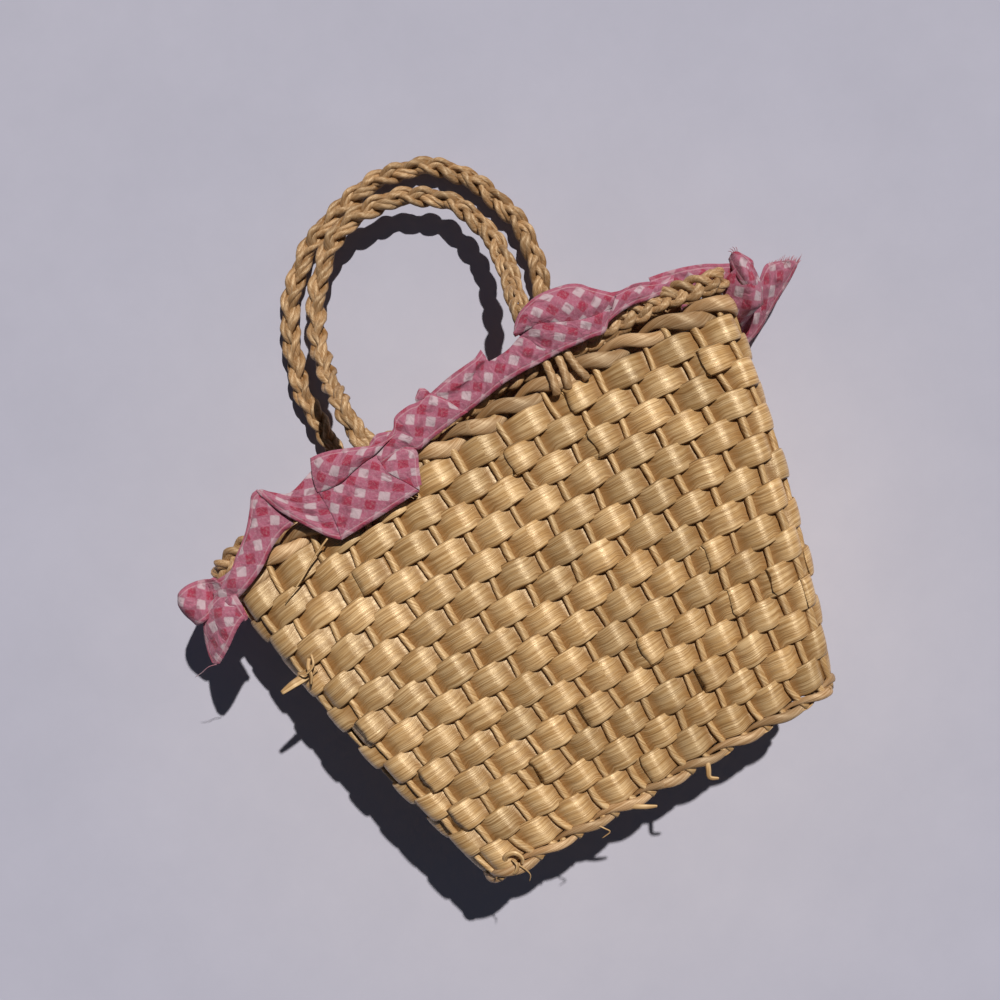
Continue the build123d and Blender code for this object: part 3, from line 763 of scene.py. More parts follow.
def handle(name, node, shares, span, height, shift, fall, hinge_z):
    """Arch of a plait of three strands of two plies: straight up to its hinge, then falling by a power of
    the way left to its top, where it lies nearly flat."""
    hinge = np.array([shift, HINGE_Y, hinge_z])
    x, y = np.array(shares).T
    left = 1 - np.clip(y, 0, 1)
    places = hinge + np.stack([span * x, height * y, -fall * (1 - left ** FALL_CURVE)], axis=-1)
    path, length = even_path(places, HANDLE_STATIONS)
    ahead = np.gradient(path, axis=0)
    ahead /= np.linalg.norm(ahead, axis=1, keepdims=True)
    rise = (path[:, 1] - HINGE_Y) / height
    slope = fall * FALL_CURVE / height * (1 - np.clip(rise, 0, 1)) ** (FALL_CURVE - 1)
    slope *= np.clip(1 + (path[:, 1] - HINGE_Y) / HANDLE_BEND, 0, 1)
    across = np.stack([0 * slope, slope, 0 * slope + 1], axis=-1)
    across /= np.linalg.norm(across, axis=1, keepdims=True)
    side = np.cross(across, ahead)
    side /= np.linalg.norm(side, axis=1, keepdims=True)
    travelled = np.linspace(0, length, len(path))
    phase = 2 * pi * travelled / PLAIT_PERIOD + 0.5 * np.sin(travelled / 23.0)
    centres = plait(path, side, across, phase, PLAIT_SWAY, PLAIT_DEPTH)
    ply = (2 * pi * travelled / PLY_PERIOD + PLY_LAG * np.arange(3)[:, None])[..., None]
    beside = PLY_OFFSET * (np.cos(ply) * side + PLY_DEPTH_SHARE * np.sin(ply) * across)
    centres = np.concatenate([centres + beside, centres - beside])
    normals = np.broadcast_to(across, centres.shape)
    strand = np.arange(6)[:, None]
    uneven = 0.13 * np.sin(travelled / 9.0 + 2.1 * strand) + 0.08 * np.sin(travelled / 3.7 + strand)
    thick = STRAND_RADIUS * (1 + uneven)
    tint = (0.45 + 0.40 * np.sin(travelled / 11.0 + 2.0 * strand))[..., None]
    # painted shade in the plait's grooves, where each strand dips
    sink = (0.5 - 0.5 * np.sin(2 * (phase + 2 * pi * (strand % 3) / 3)))[..., None]
    sizes = (thick, PLY_FLAT_SHARE * thick, 10, ROPE_TWIST)
    arch = tubes(name, centres, normals, *sizes, ROPE_STRAW, tint=tint, sink=sink)
    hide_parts(node)
    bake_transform(arch)
    return arch


def handle_roots(name, node, span, shift, side):
    """The three strands of each handle end: fanned out over the braid and the twining, tucked in below."""
    levels = np.array([WEAVE_END, WEAVE_END, TWINE_RISE, BRAID_RISE, BRAID_RISE, RIM_TOP])
    rises = levels + np.array([-0.2, 1.6, 0.6, -2.0, 2.5, 4.0])
    outs = np.array([1.6, 2.9, 3.4, 3.5, 3.7, 3.6])
    fans = np.array([
        [-3.0, -2.6, -2.0, -1.4, -1.4, -2.0],
        [0.9, 1.3, 1.9, 2.5, 1.6, 0.0],
        [6.9, 6.5, 5.8, 5.3, 3.9, 2.0],
    ])
    lines = []
    for end in (-1, 1):
        for fan in fans:
            x = shift + end * span / 2 + fan
            lines.append(even_path(panel_place(x, rises, outs, side), 40)[0])
    centres = np.array(lines)
    normals = np.broadcast_to([0.0, 0.0, float(side)], centres.shape)
    thick = np.full(centres.shape[:2], ROOT_RADIUS)
    tint = chance.uniform(0.2, 0.8, (len(lines), 1, 1))
    sizes = (thick, ROOT_FLAT_SHARE * thick, 12, ROOT_TWIST)
    # the roots carry a little painted shade, evenly
    roots = tubes(name, centres, normals, *sizes, ROPE_STRAW, tint=tint, sink=0.1)
    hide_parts(node)
    return keep(roots)


# Loose ends of straw and of cloth: half width, half depth, then places (x, y, z)
LOOSE_STRAWS = (
    (1.4, 0.25, ((-71.0, 27.4, 38.6), (-74.7, 26.5, 38.6), (-78.5, 26.3, 40.2), (-82.4, 25.8, 40.6))),
    (0.6, 0.30, ((-70.8, 30.6, 40.2), (-72.2, 28.4, 40.8), (-72.4, 26.2, 41.0), (-74.0, 23.8, 40.2))),
    (0.4, 0.30, ((-69.6, 31.4, 40.4), (-70.4, 28.4, 41.4), (-73.6, 27.2, 41.4), (-75.6, 28.6, 40.4))),
    (0.8, 0.35, ((-11.5, -50.2, 45.6), (-9.4, -51.4, 46.0), (-7.0, -52.8, 46.0), (-4.7, -54.1, 45.4))),
    (0.8, 0.35, ((14.2, -49.4, 45.4), (13.0, -52.0, 46.2), (12.2, -54.2, 46.0), (14.3, -55.9, 45.4))),
    (0.22, 0.22, ((-21.9, -50.6, 45.6), (-20.6, -52.2, 46.0), (-19.9, -53.8, 45.6), (-22.7, -54.4, 45.0))),
    (0.30, 0.22, ((-49.0, 58.4, 36.6), (-55.0, 55.6, 37.2), (-62.0, 51.4, 37.6), (-69.5, 47.8, 37.2))),
    (0.8, 0.4, ((-50.0, -46.4, 45.4), (-48.4, -44.8, 47.0), (-46.0, -45.2, 47.4), (-44.9, -47.4, 47.2),
                (-46.0, -49.4, 46.2))),
    (0.6, 0.4, ((-50.4, -49.6, 45.0), (-48.6, -50.2, 46.6), (-47.0, -48.6, 47.2), (-47.6, -46.6, 46.6))),
    (0.22, 0.22, ((-46.8, -48.6, 46.8), (-45.6, -51.2, 46.6), (-45.4, -53.2, 46.0), (-46.6, -54.8, 45.2))),
)
LOOSE_THREADS = (
    (0.12, 0.12, ((-96.4, 42.2, 34.4), (-99.0, 42.7, 33.8), (-102.0, 42.2, 32.2), (-105.1, 42.0, 30.0))),
    (0.12, 0.12, ((96.6, 72.6, 26.0), (96.4, 73.6, 26.2), (95.8, 74.2, 25.8))),
    (0.12, 0.12, ((97.0, 72.6, 26.2), (97.0, 73.8, 26.4), (96.6, 74.6, 26.0))),
    (0.12, 0.12, ((97.4, 72.5, 26.2), (97.7, 73.8, 26.4), (97.5, 74.7, 26.0))),
    (0.12, 0.12, ((97.8, 72.4, 26.2), (98.3, 73.4, 26.4), (98.4, 74.2, 26.0))),
)
LOOSE_STATIONS = 18
FRINGE_COUNT = 70
FRINGE_START = np.array([105.0, 64.2, 15.9])
FRINGE_WAY = np.array([9.6, -4.2, -2.2])
FRINGE_AHEAD = np.array([0.855, 0.519, -0.06])
FRINGE_HALF_WIDTH = 0.11
FRINGE_HALF_DEPTH = 0.10


def loose_ends(name, table, material, **values):
    """Thin ends that stick out of the bag, each a flattened tube along a smooth curve."""
    centres = np.stack([even_path(places, LOOSE_STATIONS)[0] for wide, deep, places in table])
    normals = np.broadcast_to([0.0, 0.0, 1.0], centres.shape)
    taper = 1 - 0.55 * np.linspace(0, 1, LOOSE_STATIONS)[None] ** 3
    wide = np.array([wide for wide, deep, places in table])[:, None] * taper
    deep = np.array([deep for wide, deep, places in table])[:, None] * taper
    return tubes(name, centres, normals, wide, deep, 8, 0, material, **values)


def fringe():
    """Places of the threads that stand out of the frayed end of the ribbon's tail, side by side."""
    share = np.sort(chance.uniform(0, 1, FRINGE_COUNT))[:, None]
    start = FRINGE_START + share * FRINGE_WAY
    ahead = FRINGE_AHEAD + 0.16 * chance.uniform(-1, 1, (FRINGE_COUNT, 3))
    reach = chance.uniform(3.0, 5.4, FRINGE_COUNT)[:, None]
    bend = 0.25 * chance.uniform(-1, 1, (FRINGE_COUNT, 3))
    middle = start + ahead * reach / 2 + bend
    places = np.stack([start, middle, start + ahead * reach], axis=1)
    return tuple((FRINGE_HALF_WIDTH, FRINGE_HALF_DEPTH, line) for line in places)


def keep(piece):
    """The piece moves with the bag."""
    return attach(piece, "bag")


def cloth_stretch(lines, rows, count):
    """One stretch of the ribbon: smooth curves through each line's places, joined by curves across."""
    edges = np.stack([even_path(line, count)[0] for line in lines])
    flat = smooth_path(edges.reshape(len(lines), -1), rows)
    return flat.reshape(rows, count, 3).transpose(1, 0, 2)


def ribbon():
    """Gingham ribbon: stretches of one strip that fold over one another along the rim, with fine ripples
    as sums of sines, pressed towards the straw."""
    stretches = [cloth_stretch(lines, RIBBON_ROWS, RIBBON_COLUMNS) for hems, lines in RIBBON_STRETCHES]
    points = np.stack(stretches)
    hems = np.array([hems for hems, lines in RIBBON_STRETCHES])
    steps = np.linalg.norm(np.diff(points, axis=1), axis=-1).mean(axis=2)
    along = np.concatenate([np.zeros((len(points), 1)), np.cumsum(steps, axis=1)], axis=1)
    steps = np.linalg.norm(np.diff(points, axis=2), axis=-1)
    across = np.concatenate([np.zeros(points.shape[:2] + (1,)), np.cumsum(steps, axis=2)], axis=2)
    from_lower = across + np.where(hems[:, 0], 0, NO_HEM)[:, None, None]
    from_upper = across[..., -1:] - across + np.where(hems[:, 1], 0, NO_HEM)[:, None, None]
    edge = np.minimum(from_lower, from_upper)
    number = np.arange(len(points))[:, None, None]
    inner = np.sin(pi * np.linspace(0, 1, RIBBON_ROWS))
    inner = inner * np.sin(pi * np.linspace(0, 1, RIBBON_COLUMNS))[:, None] ** 0.3
    length = along[..., None]
    size, way, cross = FINE_RIPPLE
    patches = np.sin(across / FINE_RIPPLE_GAP + number)
    ripple = size * np.sin(length / way + across / cross + 3 * number) * patches
    for order, (size, way, cross) in enumerate(RIPPLES, 1):
        ripple += size * np.sin(length / way + across / cross + order * number)
    points[..., 2] += RIBBON_RIPPLE * ripple * inner
    straw = STRAW_LEVEL - STRAW_FALL_SHARE * (points[..., 1] - STRAW_LEVEL_Y)
    above = np.clip(points[..., 2] - straw, 0, None)
    points[..., 2] -= PRESS_SHARE * above * np.clip((points[..., 0] - LOOP_X) / LOOP_EASE, 0, 1)
    along_grid = np.broadcast_to(length + STRETCH_UV_STEP * number, across.shape)
    piece = surface("gingham_strip", points, along_grid, across, GINGHAM, wrap_round=False, edge=edge)
    thick = piece.modifiers.new("cloth", "SOLIDIFY")
    thick.thickness = RIBBON_THICKNESS * MM
    thick.offset = 0
    return piece


# Ribbon stretches: whether the first and last line carry a hem, and lines of places from the lower edge to
# the upper one (x, y, z)
RIBBON_STRETCHES = (
    # left loop, from the front round to the back
    ((True, True), (
        ((-82, 58.8, 34.5), (-88, 56.3, 32), (-92, 55, 34), (-95, 54.7, 34),
         (-97.3, 55.6, 30), (-97.2, 56.2, 22), (-93, 55.2, 14), (-85, 54.2, 8)),
        ((-83, 60.8, 35), (-88.5, 59.5, 31), (-92.6, 59, 35), (-96.1, 58.9, 35),
         (-98.4, 59.7, 30), (-97.6, 60.2, 22), (-93, 59.2, 14), (-85, 58.2, 7)),
        ((-84, 62.8, 34.5), (-89, 62.5, 30.5), (-93, 63, 35), (-96.7, 62.6, 35),
         (-98.8, 63, 30), (-97.6, 63.3, 22), (-93, 63.3, 14), (-85, 62.2, 6)),
        ((-85, 64.4, 33.5), (-89.5, 66.3, 30), (-92.6, 66.7, 33), (-95.4, 66.1, 34),
         (-97.6, 65.2, 30), (-96.6, 65.3, 22), (-93, 66.3, 14), (-85, 66.2, 6)),
    )),
    # run up to the peak on the left
    ((True, True), (
        ((-86, 54.4, 33), (-80, 56.2, 36), (-75, 57.8, 37), (-70, 60.3, 37.2),
         (-65, 63.8, 36.8), (-60, 66, 36.4), (-56, 66.6, 36.4)),
        ((-87, 57, 34), (-80, 60, 37.6), (-75, 62, 38), (-70, 64.6, 38.2),
         (-65, 68.6, 38), (-60.5, 71.5, 38), (-57.2, 70, 37)),
        ((-88, 59.4, 33), (-80.5, 62.4, 36.6), (-75.5, 65.6, 37.2), (-70.4, 69, 37.8),
         (-66, 73, 38.4), (-62.2, 76.6, 39), (-59.6, 76.6, 39)),
        ((-88, 60.4, 31.4), (-80.4, 63, 34.6), (-75.4, 66.4, 35.2), (-70.4, 69.8, 36),
         (-66, 73.8, 36.8), (-62.2, 77.4, 37.8), (-59.8, 77.6, 38)),
        ((-88, 64, 31), (-80, 64, 33.8), (-76, 66.8, 34.4), (-72, 69.8, 35),
         (-69, 72.5, 35.6), (-65.5, 76.6, 36.6), (-63, 80, 37), (-60.6, 80.7, 37)),
    )),
    # panel that falls from the peak to the front of the weave
    ((True, False), (
        ((-61, 80.4, 37.4), (-60, 77, 39), (-58.2, 72.5, 39.2), (-55.7, 68, 39.2),
         (-52.7, 63.5, 39.4), (-49.5, 58.8, 39.4), (-46.5, 55.8, 39.6)),
        ((-59.4, 80, 37.8), (-57.8, 77, 39.8), (-56, 72.5, 40), (-53.5, 68, 40),
         (-51, 63.5, 40.2), (-48.3, 58.8, 40), (-45.8, 56, 39.8)),
        ((-57.2, 77.8, 37.4), (-55.4, 74.8, 38), (-53.4, 71, 38.2), (-51.4, 67, 38.4),
         (-49.4, 63, 38.8), (-47.4, 59.5, 39), (-45, 56.4, 39.4)),
        ((-52.6, 75.1, 37.2), (-50.6, 72.8, 38.4), (-49.4, 70, 39.2), (-48.2, 66.5, 39.6),
         (-47, 62.5, 39.8), (-46, 59.5, 39.6), (-44.4, 57, 39.4)),
        ((-44, 77.6, 37.8), (-43.4, 74, 38.4), (-43, 70, 38.8), (-43, 66, 39),
         (-43, 62, 39), (-43, 59, 38.8), (-42.6, 57, 39)),
    )),
    # large panel folded down over the twining
    ((True, False), (
        ((-46.3, 55.6, 39.8), (-40, 55.8, 39.8), (-35, 56, 39.6),
         (-30, 56.2, 39.4), (-25, 56.5, 39.2), (-19.6, 56.8, 39)),
        ((-45.3, 60, 39.8), (-40, 60, 40.6), (-35, 60.2, 40.6),
         (-30, 60.4, 40.4), (-25.5, 60.8, 40), (-21.8, 60.8, 39.8)),
        ((-45.1, 66, 39.4), (-40, 66, 40.9), (-35, 66.3, 41),
         (-30, 66.8, 40.6), (-27, 67.2, 40.2), (-24.8, 65.5, 39.6)),
        ((-45.2, 70.6, 39.4), (-41.5, 69.8, 40), (-37, 69, 40),
         (-32, 70.5, 40), (-28.5, 71.6, 39.6), (-25.4, 70, 38.8)),
        ((-45.2, 74.6, 37.6), (-41.5, 74, 38), (-37, 73.4, 38),
         (-32, 74, 38), (-28.5, 74.6, 37.8), (-25.4, 73.6, 37.4)),
    )),
    # flap above it
    ((False, True), (
        ((-45.7, 71, 39.2), (-42, 70.2, 40.0), (-38, 70, 40.3), (-34, 71.1, 40.3),
         (-30, 71.8, 40.0), (-26, 72.3, 39.4), (-22, 73.5, 39.4), (-17, 74.6, 38.4)),
        ((-45.2, 73.5, 39.8), (-41.5, 74, 42), (-37.5, 74, 42.8), (-33.5, 74, 42.6),
         (-29.5, 73.8, 42), (-25.5, 73.6, 41), (-21.8, 74, 39.4), (-17, 75, 38.4)),
        ((-44.2, 77, 39.4), (-41, 77.5, 41), (-37, 77.3, 41.4), (-33, 76.5, 41.2),
         (-29, 75.4, 40.8), (-25, 74.5, 40), (-21.6, 74.3, 38.8), (-17, 75.2, 38)),
        ((-42.5, 80.8, 39.6), (-40, 80.6, 39.8), (-36.5, 79.8, 39.8), (-33, 78.5, 39.8),
         (-29, 76.8, 39.6), (-25, 75.1, 39), (-21.5, 74.6, 38), (-17, 75.4, 37.6)),
    )),
    # three-cornered panel right of the large one
    ((False, True), (
        ((-26, 68.4, 39), (-24.3, 64.8, 39.4), (-22, 61.2, 39.4), (-19.4, 57, 39)),
        ((-22.5, 69.4, 38.6), (-21, 65.5, 39.8), (-19.6, 62, 39.8), (-18.8, 58.2, 39.2)),
        ((-17.5, 71.4, 37.4), (-14.6, 67.5, 37.8), (-16.3, 63, 38.6), (-18.2, 58, 39)),
    )),
    # puff and run towards the middle
    ((True, True), (
        ((-25.5, 68.6, 38), (-21, 69.2, 37.8), (-17, 69.4, 37.2), (-14, 67.4, 36.8),
         (-10, 68.1, 36.2), (-5, 68.9, 36), (0, 69.6, 35.8), (4, 70, 35.6)),
        ((-25.5, 70.5, 38.8), (-21, 71.2, 38.8), (-17, 72.2, 39.4), (-13.5, 71.5, 39),
         (-9.5, 72, 37.8), (-5, 72.8, 37.6), (-1, 73.2, 37.8), (2.6, 71.6, 36.6)),
        ((-25.5, 72, 38), (-21, 73.2, 38), (-17, 75, 38.6), (-13.5, 75.5, 39.6),
         (-9.5, 76, 38.8), (-5.5, 76.5, 38.6), (-2.5, 77, 38.2), (1.2, 74, 37)),
        ((-25.5, 73.5, 37.4), (-21, 75, 37.6), (-17.4, 76.4, 38), (-15.2, 79.2, 37.8),
         (-10.5, 80.1, 37.4), (-7.6, 79.8, 37.4), (-3.6, 80.8, 37), (0.6, 75.8, 36.6)),
    )),
    # small puff and knob behind the run
    ((False, True), (
        ((-27, 74, 37), (-22, 74.2, 37.2), (-17.6, 75, 37.2)),
        ((-26, 75.4, 37), (-22.4, 75.8, 37.6), (-18.2, 75.6, 37.4)),
        ((-25.4, 76.2, 36.4), (-22.5, 77.5, 36.6), (-18.4, 76.2, 36.6)),
    )),
    ((False, True), (
        ((-7.8, 79.6, 37), (-5.4, 79.6, 37.6), (-3, 80, 37)),
        ((-7.5, 80.8, 37.4), (-5.2, 81.4, 38.6), (-3.1, 81, 37.4)),
        ((-6.8, 81.6, 36.8), (-5, 82.9, 37), (-3.7, 82.2, 36.8)),
    )),
    # run past the middle
    ((True, True), (
        ((0.6, 69.7, 35.6), (5, 70.2, 35.4), (10, 70.9, 35.4), (13.5, 71.5, 35.4), (16.8, 72, 35.6)),
        ((1.4, 72.5, 36.4), (5, 73.3, 37), (10, 74, 37), (13.5, 75, 37), (16.7, 75.5, 36.8)),
        ((0, 75.5, 35.6), (5, 76.7, 36.2), (9.5, 77.6, 36.4), (13, 79.2, 36.6), (16.5, 79.5, 36.6)),
        ((-1.5, 78.3, 37), (4.5, 78.4, 37.8), (9.5, 79, 38.2), (13, 80.6, 38), (16.4, 81, 37)),
        ((-2.6, 80.2, 36), (4, 81.6, 36.4), (9.5, 82.2, 36.6), (13.2, 82.6, 36.8), (16.2, 84, 36.6)),
    )),
    # narrow stretch
    ((True, False), (
        ((16.4, 72, 35.8), (20, 72.2, 35.8), (24, 72.2, 36),
         (28, 72, 36.4), (33, 71.9, 36.8), (37, 71.9, 37)),
        ((16.2, 75, 36.6), (20, 75.3, 37), (24, 75.2, 37),
         (28, 74.8, 37.4), (33, 74.6, 37.6), (37, 74.6, 37.8)),
        ((16.2, 77.8, 36.6), (20, 78, 36.8), (24, 77.6, 36.8),
         (28, 77.4, 37.2), (33, 77.4, 37.4), (37, 77.4, 37.4)),
        ((16.2, 79.8, 35.8), (20, 79.8, 35.8), (23.5, 80.2, 36.2),
         (27, 81.4, 36.8), (31, 82.4, 37), (35, 82.4, 37)),
    )),
    # petal over the handle's root: front panel and the flap that stands up behind it
    ((True, False), (
        ((31.6, 71.8, 36.3), (36, 71.7, 38), (41, 71.3, 37.8),
         (46, 70.9, 37.4), (50, 70.4, 36.4), (53, 73, 35)),
        ((31.0, 75, 36.9), (36, 75, 39.4), (41, 74.5, 39.6),
         (46, 73.8, 39), (50, 73, 37.8), (53.8, 74.2, 35.8)),
        ((29.6, 79, 36.8), (35, 78.6, 40), (40.5, 77, 40.2),
         (46, 75.2, 39.6), (50, 74.8, 38.4), (54.5, 75.2, 36.2)),
        ((27.4, 83.1, 36.9), (34.2, 81.9, 40), (40, 79.3, 40),
         (45.5, 77, 39.4), (50, 76, 38.2), (55.2, 75.9, 36)),
    )),
    ((False, True), (
        ((26.6, 82.2, 37.8), (34.3, 81.6, 39.6), (40, 79, 39.6),
         (45.5, 76.7, 39), (50, 75.7, 37.8), (55.5, 75.6, 36)),
        ((26.6, 83, 39.6), (33, 84, 41.4), (39, 82.5, 41.8),
         (45.5, 80.5, 41.4), (51, 78.6, 40), (57, 77, 36.8)),
        ((26.8, 83.4, 39.2), (32.5, 86.2, 40.6), (39, 86.4, 41.2),
         (46, 84.8, 40.8), (52, 81.4, 39.4), (57.8, 78, 36.8)),
        ((26.6, 82.8, 38), (28.6, 85.6, 38.4), (32, 88, 38.6), (38.5, 89.4, 38.8),
         (46.5, 88.2, 38.6), (50.6, 86.2, 38.4), (53, 83.6, 38), (58.8, 78.4, 36.4)),
    )),
    # end of the front stretch, going over the rim to the inside
    ((True, True), (
        ((52, 72.4, 35), (57, 73.4, 34.2), (62, 73.4, 33.2),
         (66, 72.7, 32.2), (71, 72.2, 30.8), (75.5, 72, 29)),
        ((54.5, 75.3, 36), (58, 76.1, 35.4), (63, 76.2, 34.4),
         (67, 75.4, 33), (72, 74.2, 31.4), (76, 73.6, 29.4)),
        ((56, 77, 35.4), (59, 77.7, 34.4), (64, 77.6, 33),
         (68, 76.6, 31.6), (72.5, 75, 30.2), (76.6, 74.4, 29)),
        ((57.5, 79.8, 35.4), (60.5, 79, 34.4), (65, 78.8, 33),
         (69, 77.6, 31.4), (73, 75.8, 29.8), (77.4, 75.8, 28.4)),
    )),
    # stretch inside the mouth, to the knob at the right end
    ((False, True), (
        ((70, 70, 26), (76, 69.4, 25), (81, 68.6, 24),
         (87, 67, 23.6), (91.6, 65, 23.6), (95.6, 62.6, 24.6)),
        ((70.4, 74.8, 26.6), (76, 74.2, 25.6), (81.4, 73, 24.8),
         (87.4, 71.2, 24.4), (92, 68.8, 24.6), (96, 66.4, 25)),
        ((71, 79, 26.4), (76.4, 78.1, 25.6), (82, 76.7, 24.8),
         (88, 74.6, 24.2), (92.6, 72, 24.4), (96.4, 70, 25)),
    )),
    ((True, True), (
        ((95.3, 72.2, 24), (94.1, 68.8, 26), (93.9, 65.3, 27), (94.5, 61.8, 26.4), (95.9, 59.4, 24)),
        ((96.7, 73.2, 26), (96.3, 69.3, 28), (96.1, 65.8, 28.6), (96.7, 62.3, 28), (97.1, 59.8, 25)),
        ((98, 72.6, 26.4), (98.3, 69.3, 27.4), (98.1, 66.3, 27), (98.5, 63.7, 27.2), (98.9, 61.5, 25.4)),
        ((99.1, 71.6, 25.4), (100.7, 68.3, 26), (100.5, 66.5, 24.8), (99.5, 65, 24), (99.5, 62.2, 24)),
    )),
    # cloth between the knob and the tail
    ((False, False), (
        ((88.6, 67, 24), (88.8, 61.5, 23.6), (89.6, 55.5, 21), (91.6, 52.6, 12.6)),
        ((95.4, 68.5, 27.6), (95.8, 62, 27.2), (95.6, 55.5, 24), (96.6, 54.8, 13.8)),
        ((100.2, 67.6, 26), (100.2, 62, 24.6), (98.6, 55.5, 21), (100.2, 58.4, 15.6)),
    )),
    # stretch along the back, under the bag
    ((True, True), (
        ((-84, 54, 8), (-76, 57, 5.6), (-64, 61, 4.4), (-48, 62, 2.2), (-36, 61, 1.6),
         (-24, 64, 2.4), (-6, 65, 3.6), (14, 64, 3.6), (28, 64, 2.2), (40, 62, 1.6),
         (54, 64, 2.6), (70, 61, 4), (82, 54, 5.4), (89, 46.4, 8)),
        ((-84, 58, 7), (-76, 61, 4.8), (-64, 65.5, 3.6), (-48, 67, 1.6), (-36, 66.5, 1),
         (-24, 69, 1.6), (-6, 70, 2.8), (14, 69, 3), (28, 68.5, 1.6), (40, 67, 1),
         (54, 68.5, 2), (70, 65, 3.4), (82, 58.5, 6), (90, 50, 10)),
        ((-84, 62, 6), (-76, 65, 4.4), (-64, 70, 3.6), (-48, 72, 1.8), (-36, 72, 1),
         (-24, 74, 1.8), (-6, 75, 3.2), (14, 74, 3), (28, 73.5, 1.6), (40, 72, 1),
         (54, 73, 2.2), (70, 69, 3.6), (82, 63, 7), (91, 54, 12)),
        ((-84, 66, 6), (-76, 69, 5), (-64, 74.5, 4.4), (-48, 77, 2.6), (-36, 77, 1.8),
         (-24, 78.5, 3), (-6, 80, 4.4), (14, 79, 4.2), (28, 78, 2.4), (40, 77, 1.8),
         (54, 78, 3.2), (70, 73.5, 5), (82, 67, 9), (92, 58.5, 14)),
    )),
    # tail behind the right end
    ((True, True), (
        ((88.2, 45.9, 7.8), (96.6, 48.9, 9.4), (101.4, 51.9, 10.8),
         (106.2, 54.7, 11.8), (111.5, 57.7, 12.8), (115.6, 60.6, 13.8)),
        ((89.2, 49.7, 9.8), (97.2, 53, 12), (101.9, 56.2, 13.8),
         (106.6, 58.9, 14.6), (111.5, 61, 14.6), (115.8, 61.5, 14.4)),
        ((90.4, 53.9, 11.8), (97.6, 57.7, 14.6), (102, 60.2, 16.2),
         (106.4, 62.6, 16.2), (110.5, 63.5, 15.4), (115, 62.7, 14.8)),
        ((91.4, 58.4, 13.8), (98.8, 60.4, 16.2), (102.4, 62.7, 17.2),
         (106, 65.5, 16.6), (108.6, 65.5, 15.6), (113, 63.9, 15)),
    )),
    # loose flap at the lower left
    ((True, True), (
        ((-84, 60, 34.5), (-89.6, 58.6, 33.6), (-94, 55.2, 32.4),
         (-96.4, 51, 31.6), (-97.8, 46.6, 31.4), (-98, 43.2, 32)),
        ((-83, 57, 36), (-87.8, 55.6, 35.8), (-91.6, 52.6, 34.8),
         (-94.2, 49, 33.8), (-96.2, 45.4, 33), (-97.4, 42.6, 32.6)),
        ((-82, 53.6, 36.8), (-85.8, 52.4, 37.4), (-88.8, 50, 36.8),
         (-91.8, 47, 35.6), (-94.4, 44.4, 34.4), (-96.6, 42.2, 33.2)),
        ((-81, 49.8, 36.4), (-83.4, 49.2, 37), (-86.4, 47.4, 36.8),
         (-89.6, 45.2, 36), (-93, 43.2, 34.8), (-95.8, 41.9, 33.4)),
    )),
    ((False, True), (
        ((-85.6, 56.8, 35), (-84.9, 53, 35.8), (-83.4, 49.4, 35)),
        ((-83.2, 57.4, 36.6), (-82.8, 53, 37.2), (-82.2, 49, 36.2)),
        ((-81, 57.4, 36.4), (-80.8, 53, 36.8), (-81.2, 49.6, 35.8)),
    )),
)


def floor():
    """Wide plain floor under the bag."""
    side = np.linspace(-1, 1, 9) * FLOOR_HALF
    x, y = np.meshgrid(side, side, indexing="ij")
    points = np.stack([x, y, 0 * x + FLOOR_LEVEL], axis=-1)[None]
    ground = surface("floor", points[:, :, ::-1], x[None], y[None], floor_material(), wrap_round=False)


def camera():
    """Straight above the bag, turned so that the rim rises to the right as in the photograph."""
    picture_width = PICTURE_PIXELS / PIXELS_PER_MM
    data = bpy.data.cameras.new("camera")
    data.sensor_width = SENSOR_WIDTH
    data.lens = SENSOR_WIDTH * CAMERA_HEIGHT / picture_width
    eye = bpy.data.objects.new("camera", data)
    eye.location = Vector((*CAMERA_PLACE, CAMERA_HEIGHT)) * MM
    eye.rotation_euler = (0, 0, radians(CAMERA_TURN))
    bpy.context.scene.collection.objects.link(eye)
    bpy.context.scene.camera = eye


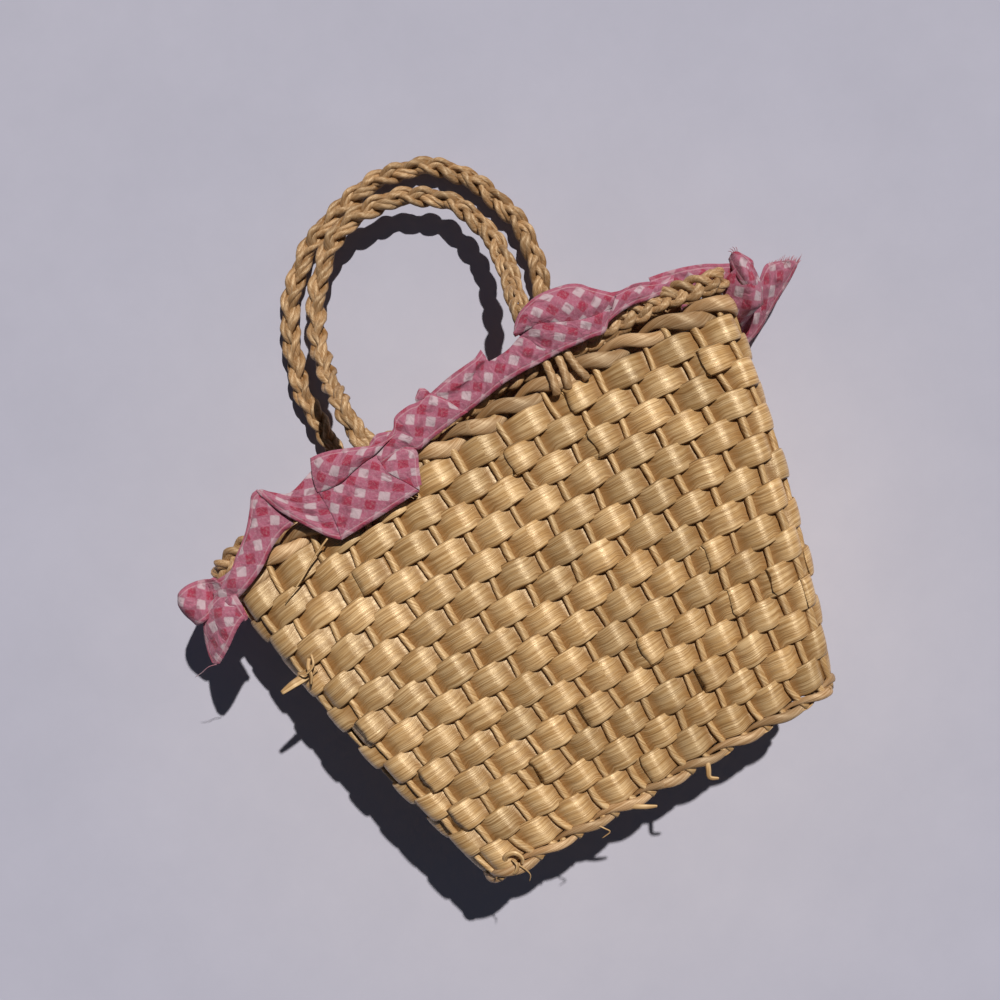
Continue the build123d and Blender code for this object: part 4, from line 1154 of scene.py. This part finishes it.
def lights():
    """Low sun from behind the mouth on the right, and an even pale blue sky."""
    data = bpy.data.lights.new("sun", "SUN")
    data.angle = radians(SUN_ANGLE)
    data.energy = SUN_ENERGY
    data.color = SUN_COLOUR
    lamp = bpy.data.objects.new("sun", data)
    lamp.location = SUN_DIRECTION
    lamp.rotation_euler = Vector(SUN_DIRECTION).to_track_quat("Z", "Y").to_euler()
    bpy.context.scene.collection.objects.link(lamp)
    world = bpy.data.worlds.new("sky")
    world.use_nodes = True
    sky = world.node_tree.nodes["Background"]
    sky.inputs["Color"].default_value = SKY_COLOUR
    sky.inputs["Strength"].default_value = SKY_STRENGTH
    bpy.context.scene.world = world


def main():
    """Makes the pieces, hides the solids they replace, ties all but the plaits to the bag; sets the stage.
    """
    strips = weft_rows()
    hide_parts("woven_body")
    for piece in (strips, weft_splices(), warp_cords(), *base_weave()):
        keep(piece)
    rope = twined_ring("base_twine", BASE_ROPE_RISE, BASE_ROPE_HEIGHT, BASE_ROPE_DEPTH, BASE_ROPE_PERIODS)
    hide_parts("base_rope")
    twine = twined_ring("rim_twine", TWINE_RISE, TWINE_HEIGHT + TWINE_SPREAD, TWINE_DEPTH, TWINE_PERIODS)
    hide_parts("rim_twining")
    braid = rim_braid()
    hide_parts("rim_braid")
    for piece in (rope, twine, braid):
        keep(piece)
    half_width, middle, back, front, radius = [float(value) for value in wall_form(np.array(RIM_TOP))]
    sizes = (FRONT_SPAN, FRONT_HEIGHT, FRONT_SHIFT, FRONT_FALL, front + HINGE_OUT)
    handle("front_plait", "front_handle", FRONT_ARCH_SHARES, *sizes)
    sizes = (BACK_SPAN, BACK_HEIGHT, BACK_SHIFT, BACK_FALL, back - HINGE_OUT)
    handle("back_plait", "back_handle", BACK_ARCH_SHARES, *sizes)
    handle_roots("front_roots", "front_handle_roots", FRONT_SPAN, FRONT_SHIFT, 1)
    handle_roots("back_roots", "back_handle_roots", BACK_SPAN, BACK_SHIFT, -1)
    straws = loose_ends("loose_straws", LOOSE_STRAWS, CORD_STRAW, tint=0.7, sink=0.0)
    keep(straws)
    threads = loose_ends("loose_threads", LOOSE_THREADS + fringe(), GINGHAM, edge=1.3)
    keep(threads)
    strip = ribbon()
    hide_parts("gingham_ribbon")
    keep(strip)
    floor()
    camera()
    lights()
    scene = bpy.context.scene
    scene.view_settings.view_transform = "Standard"


main()
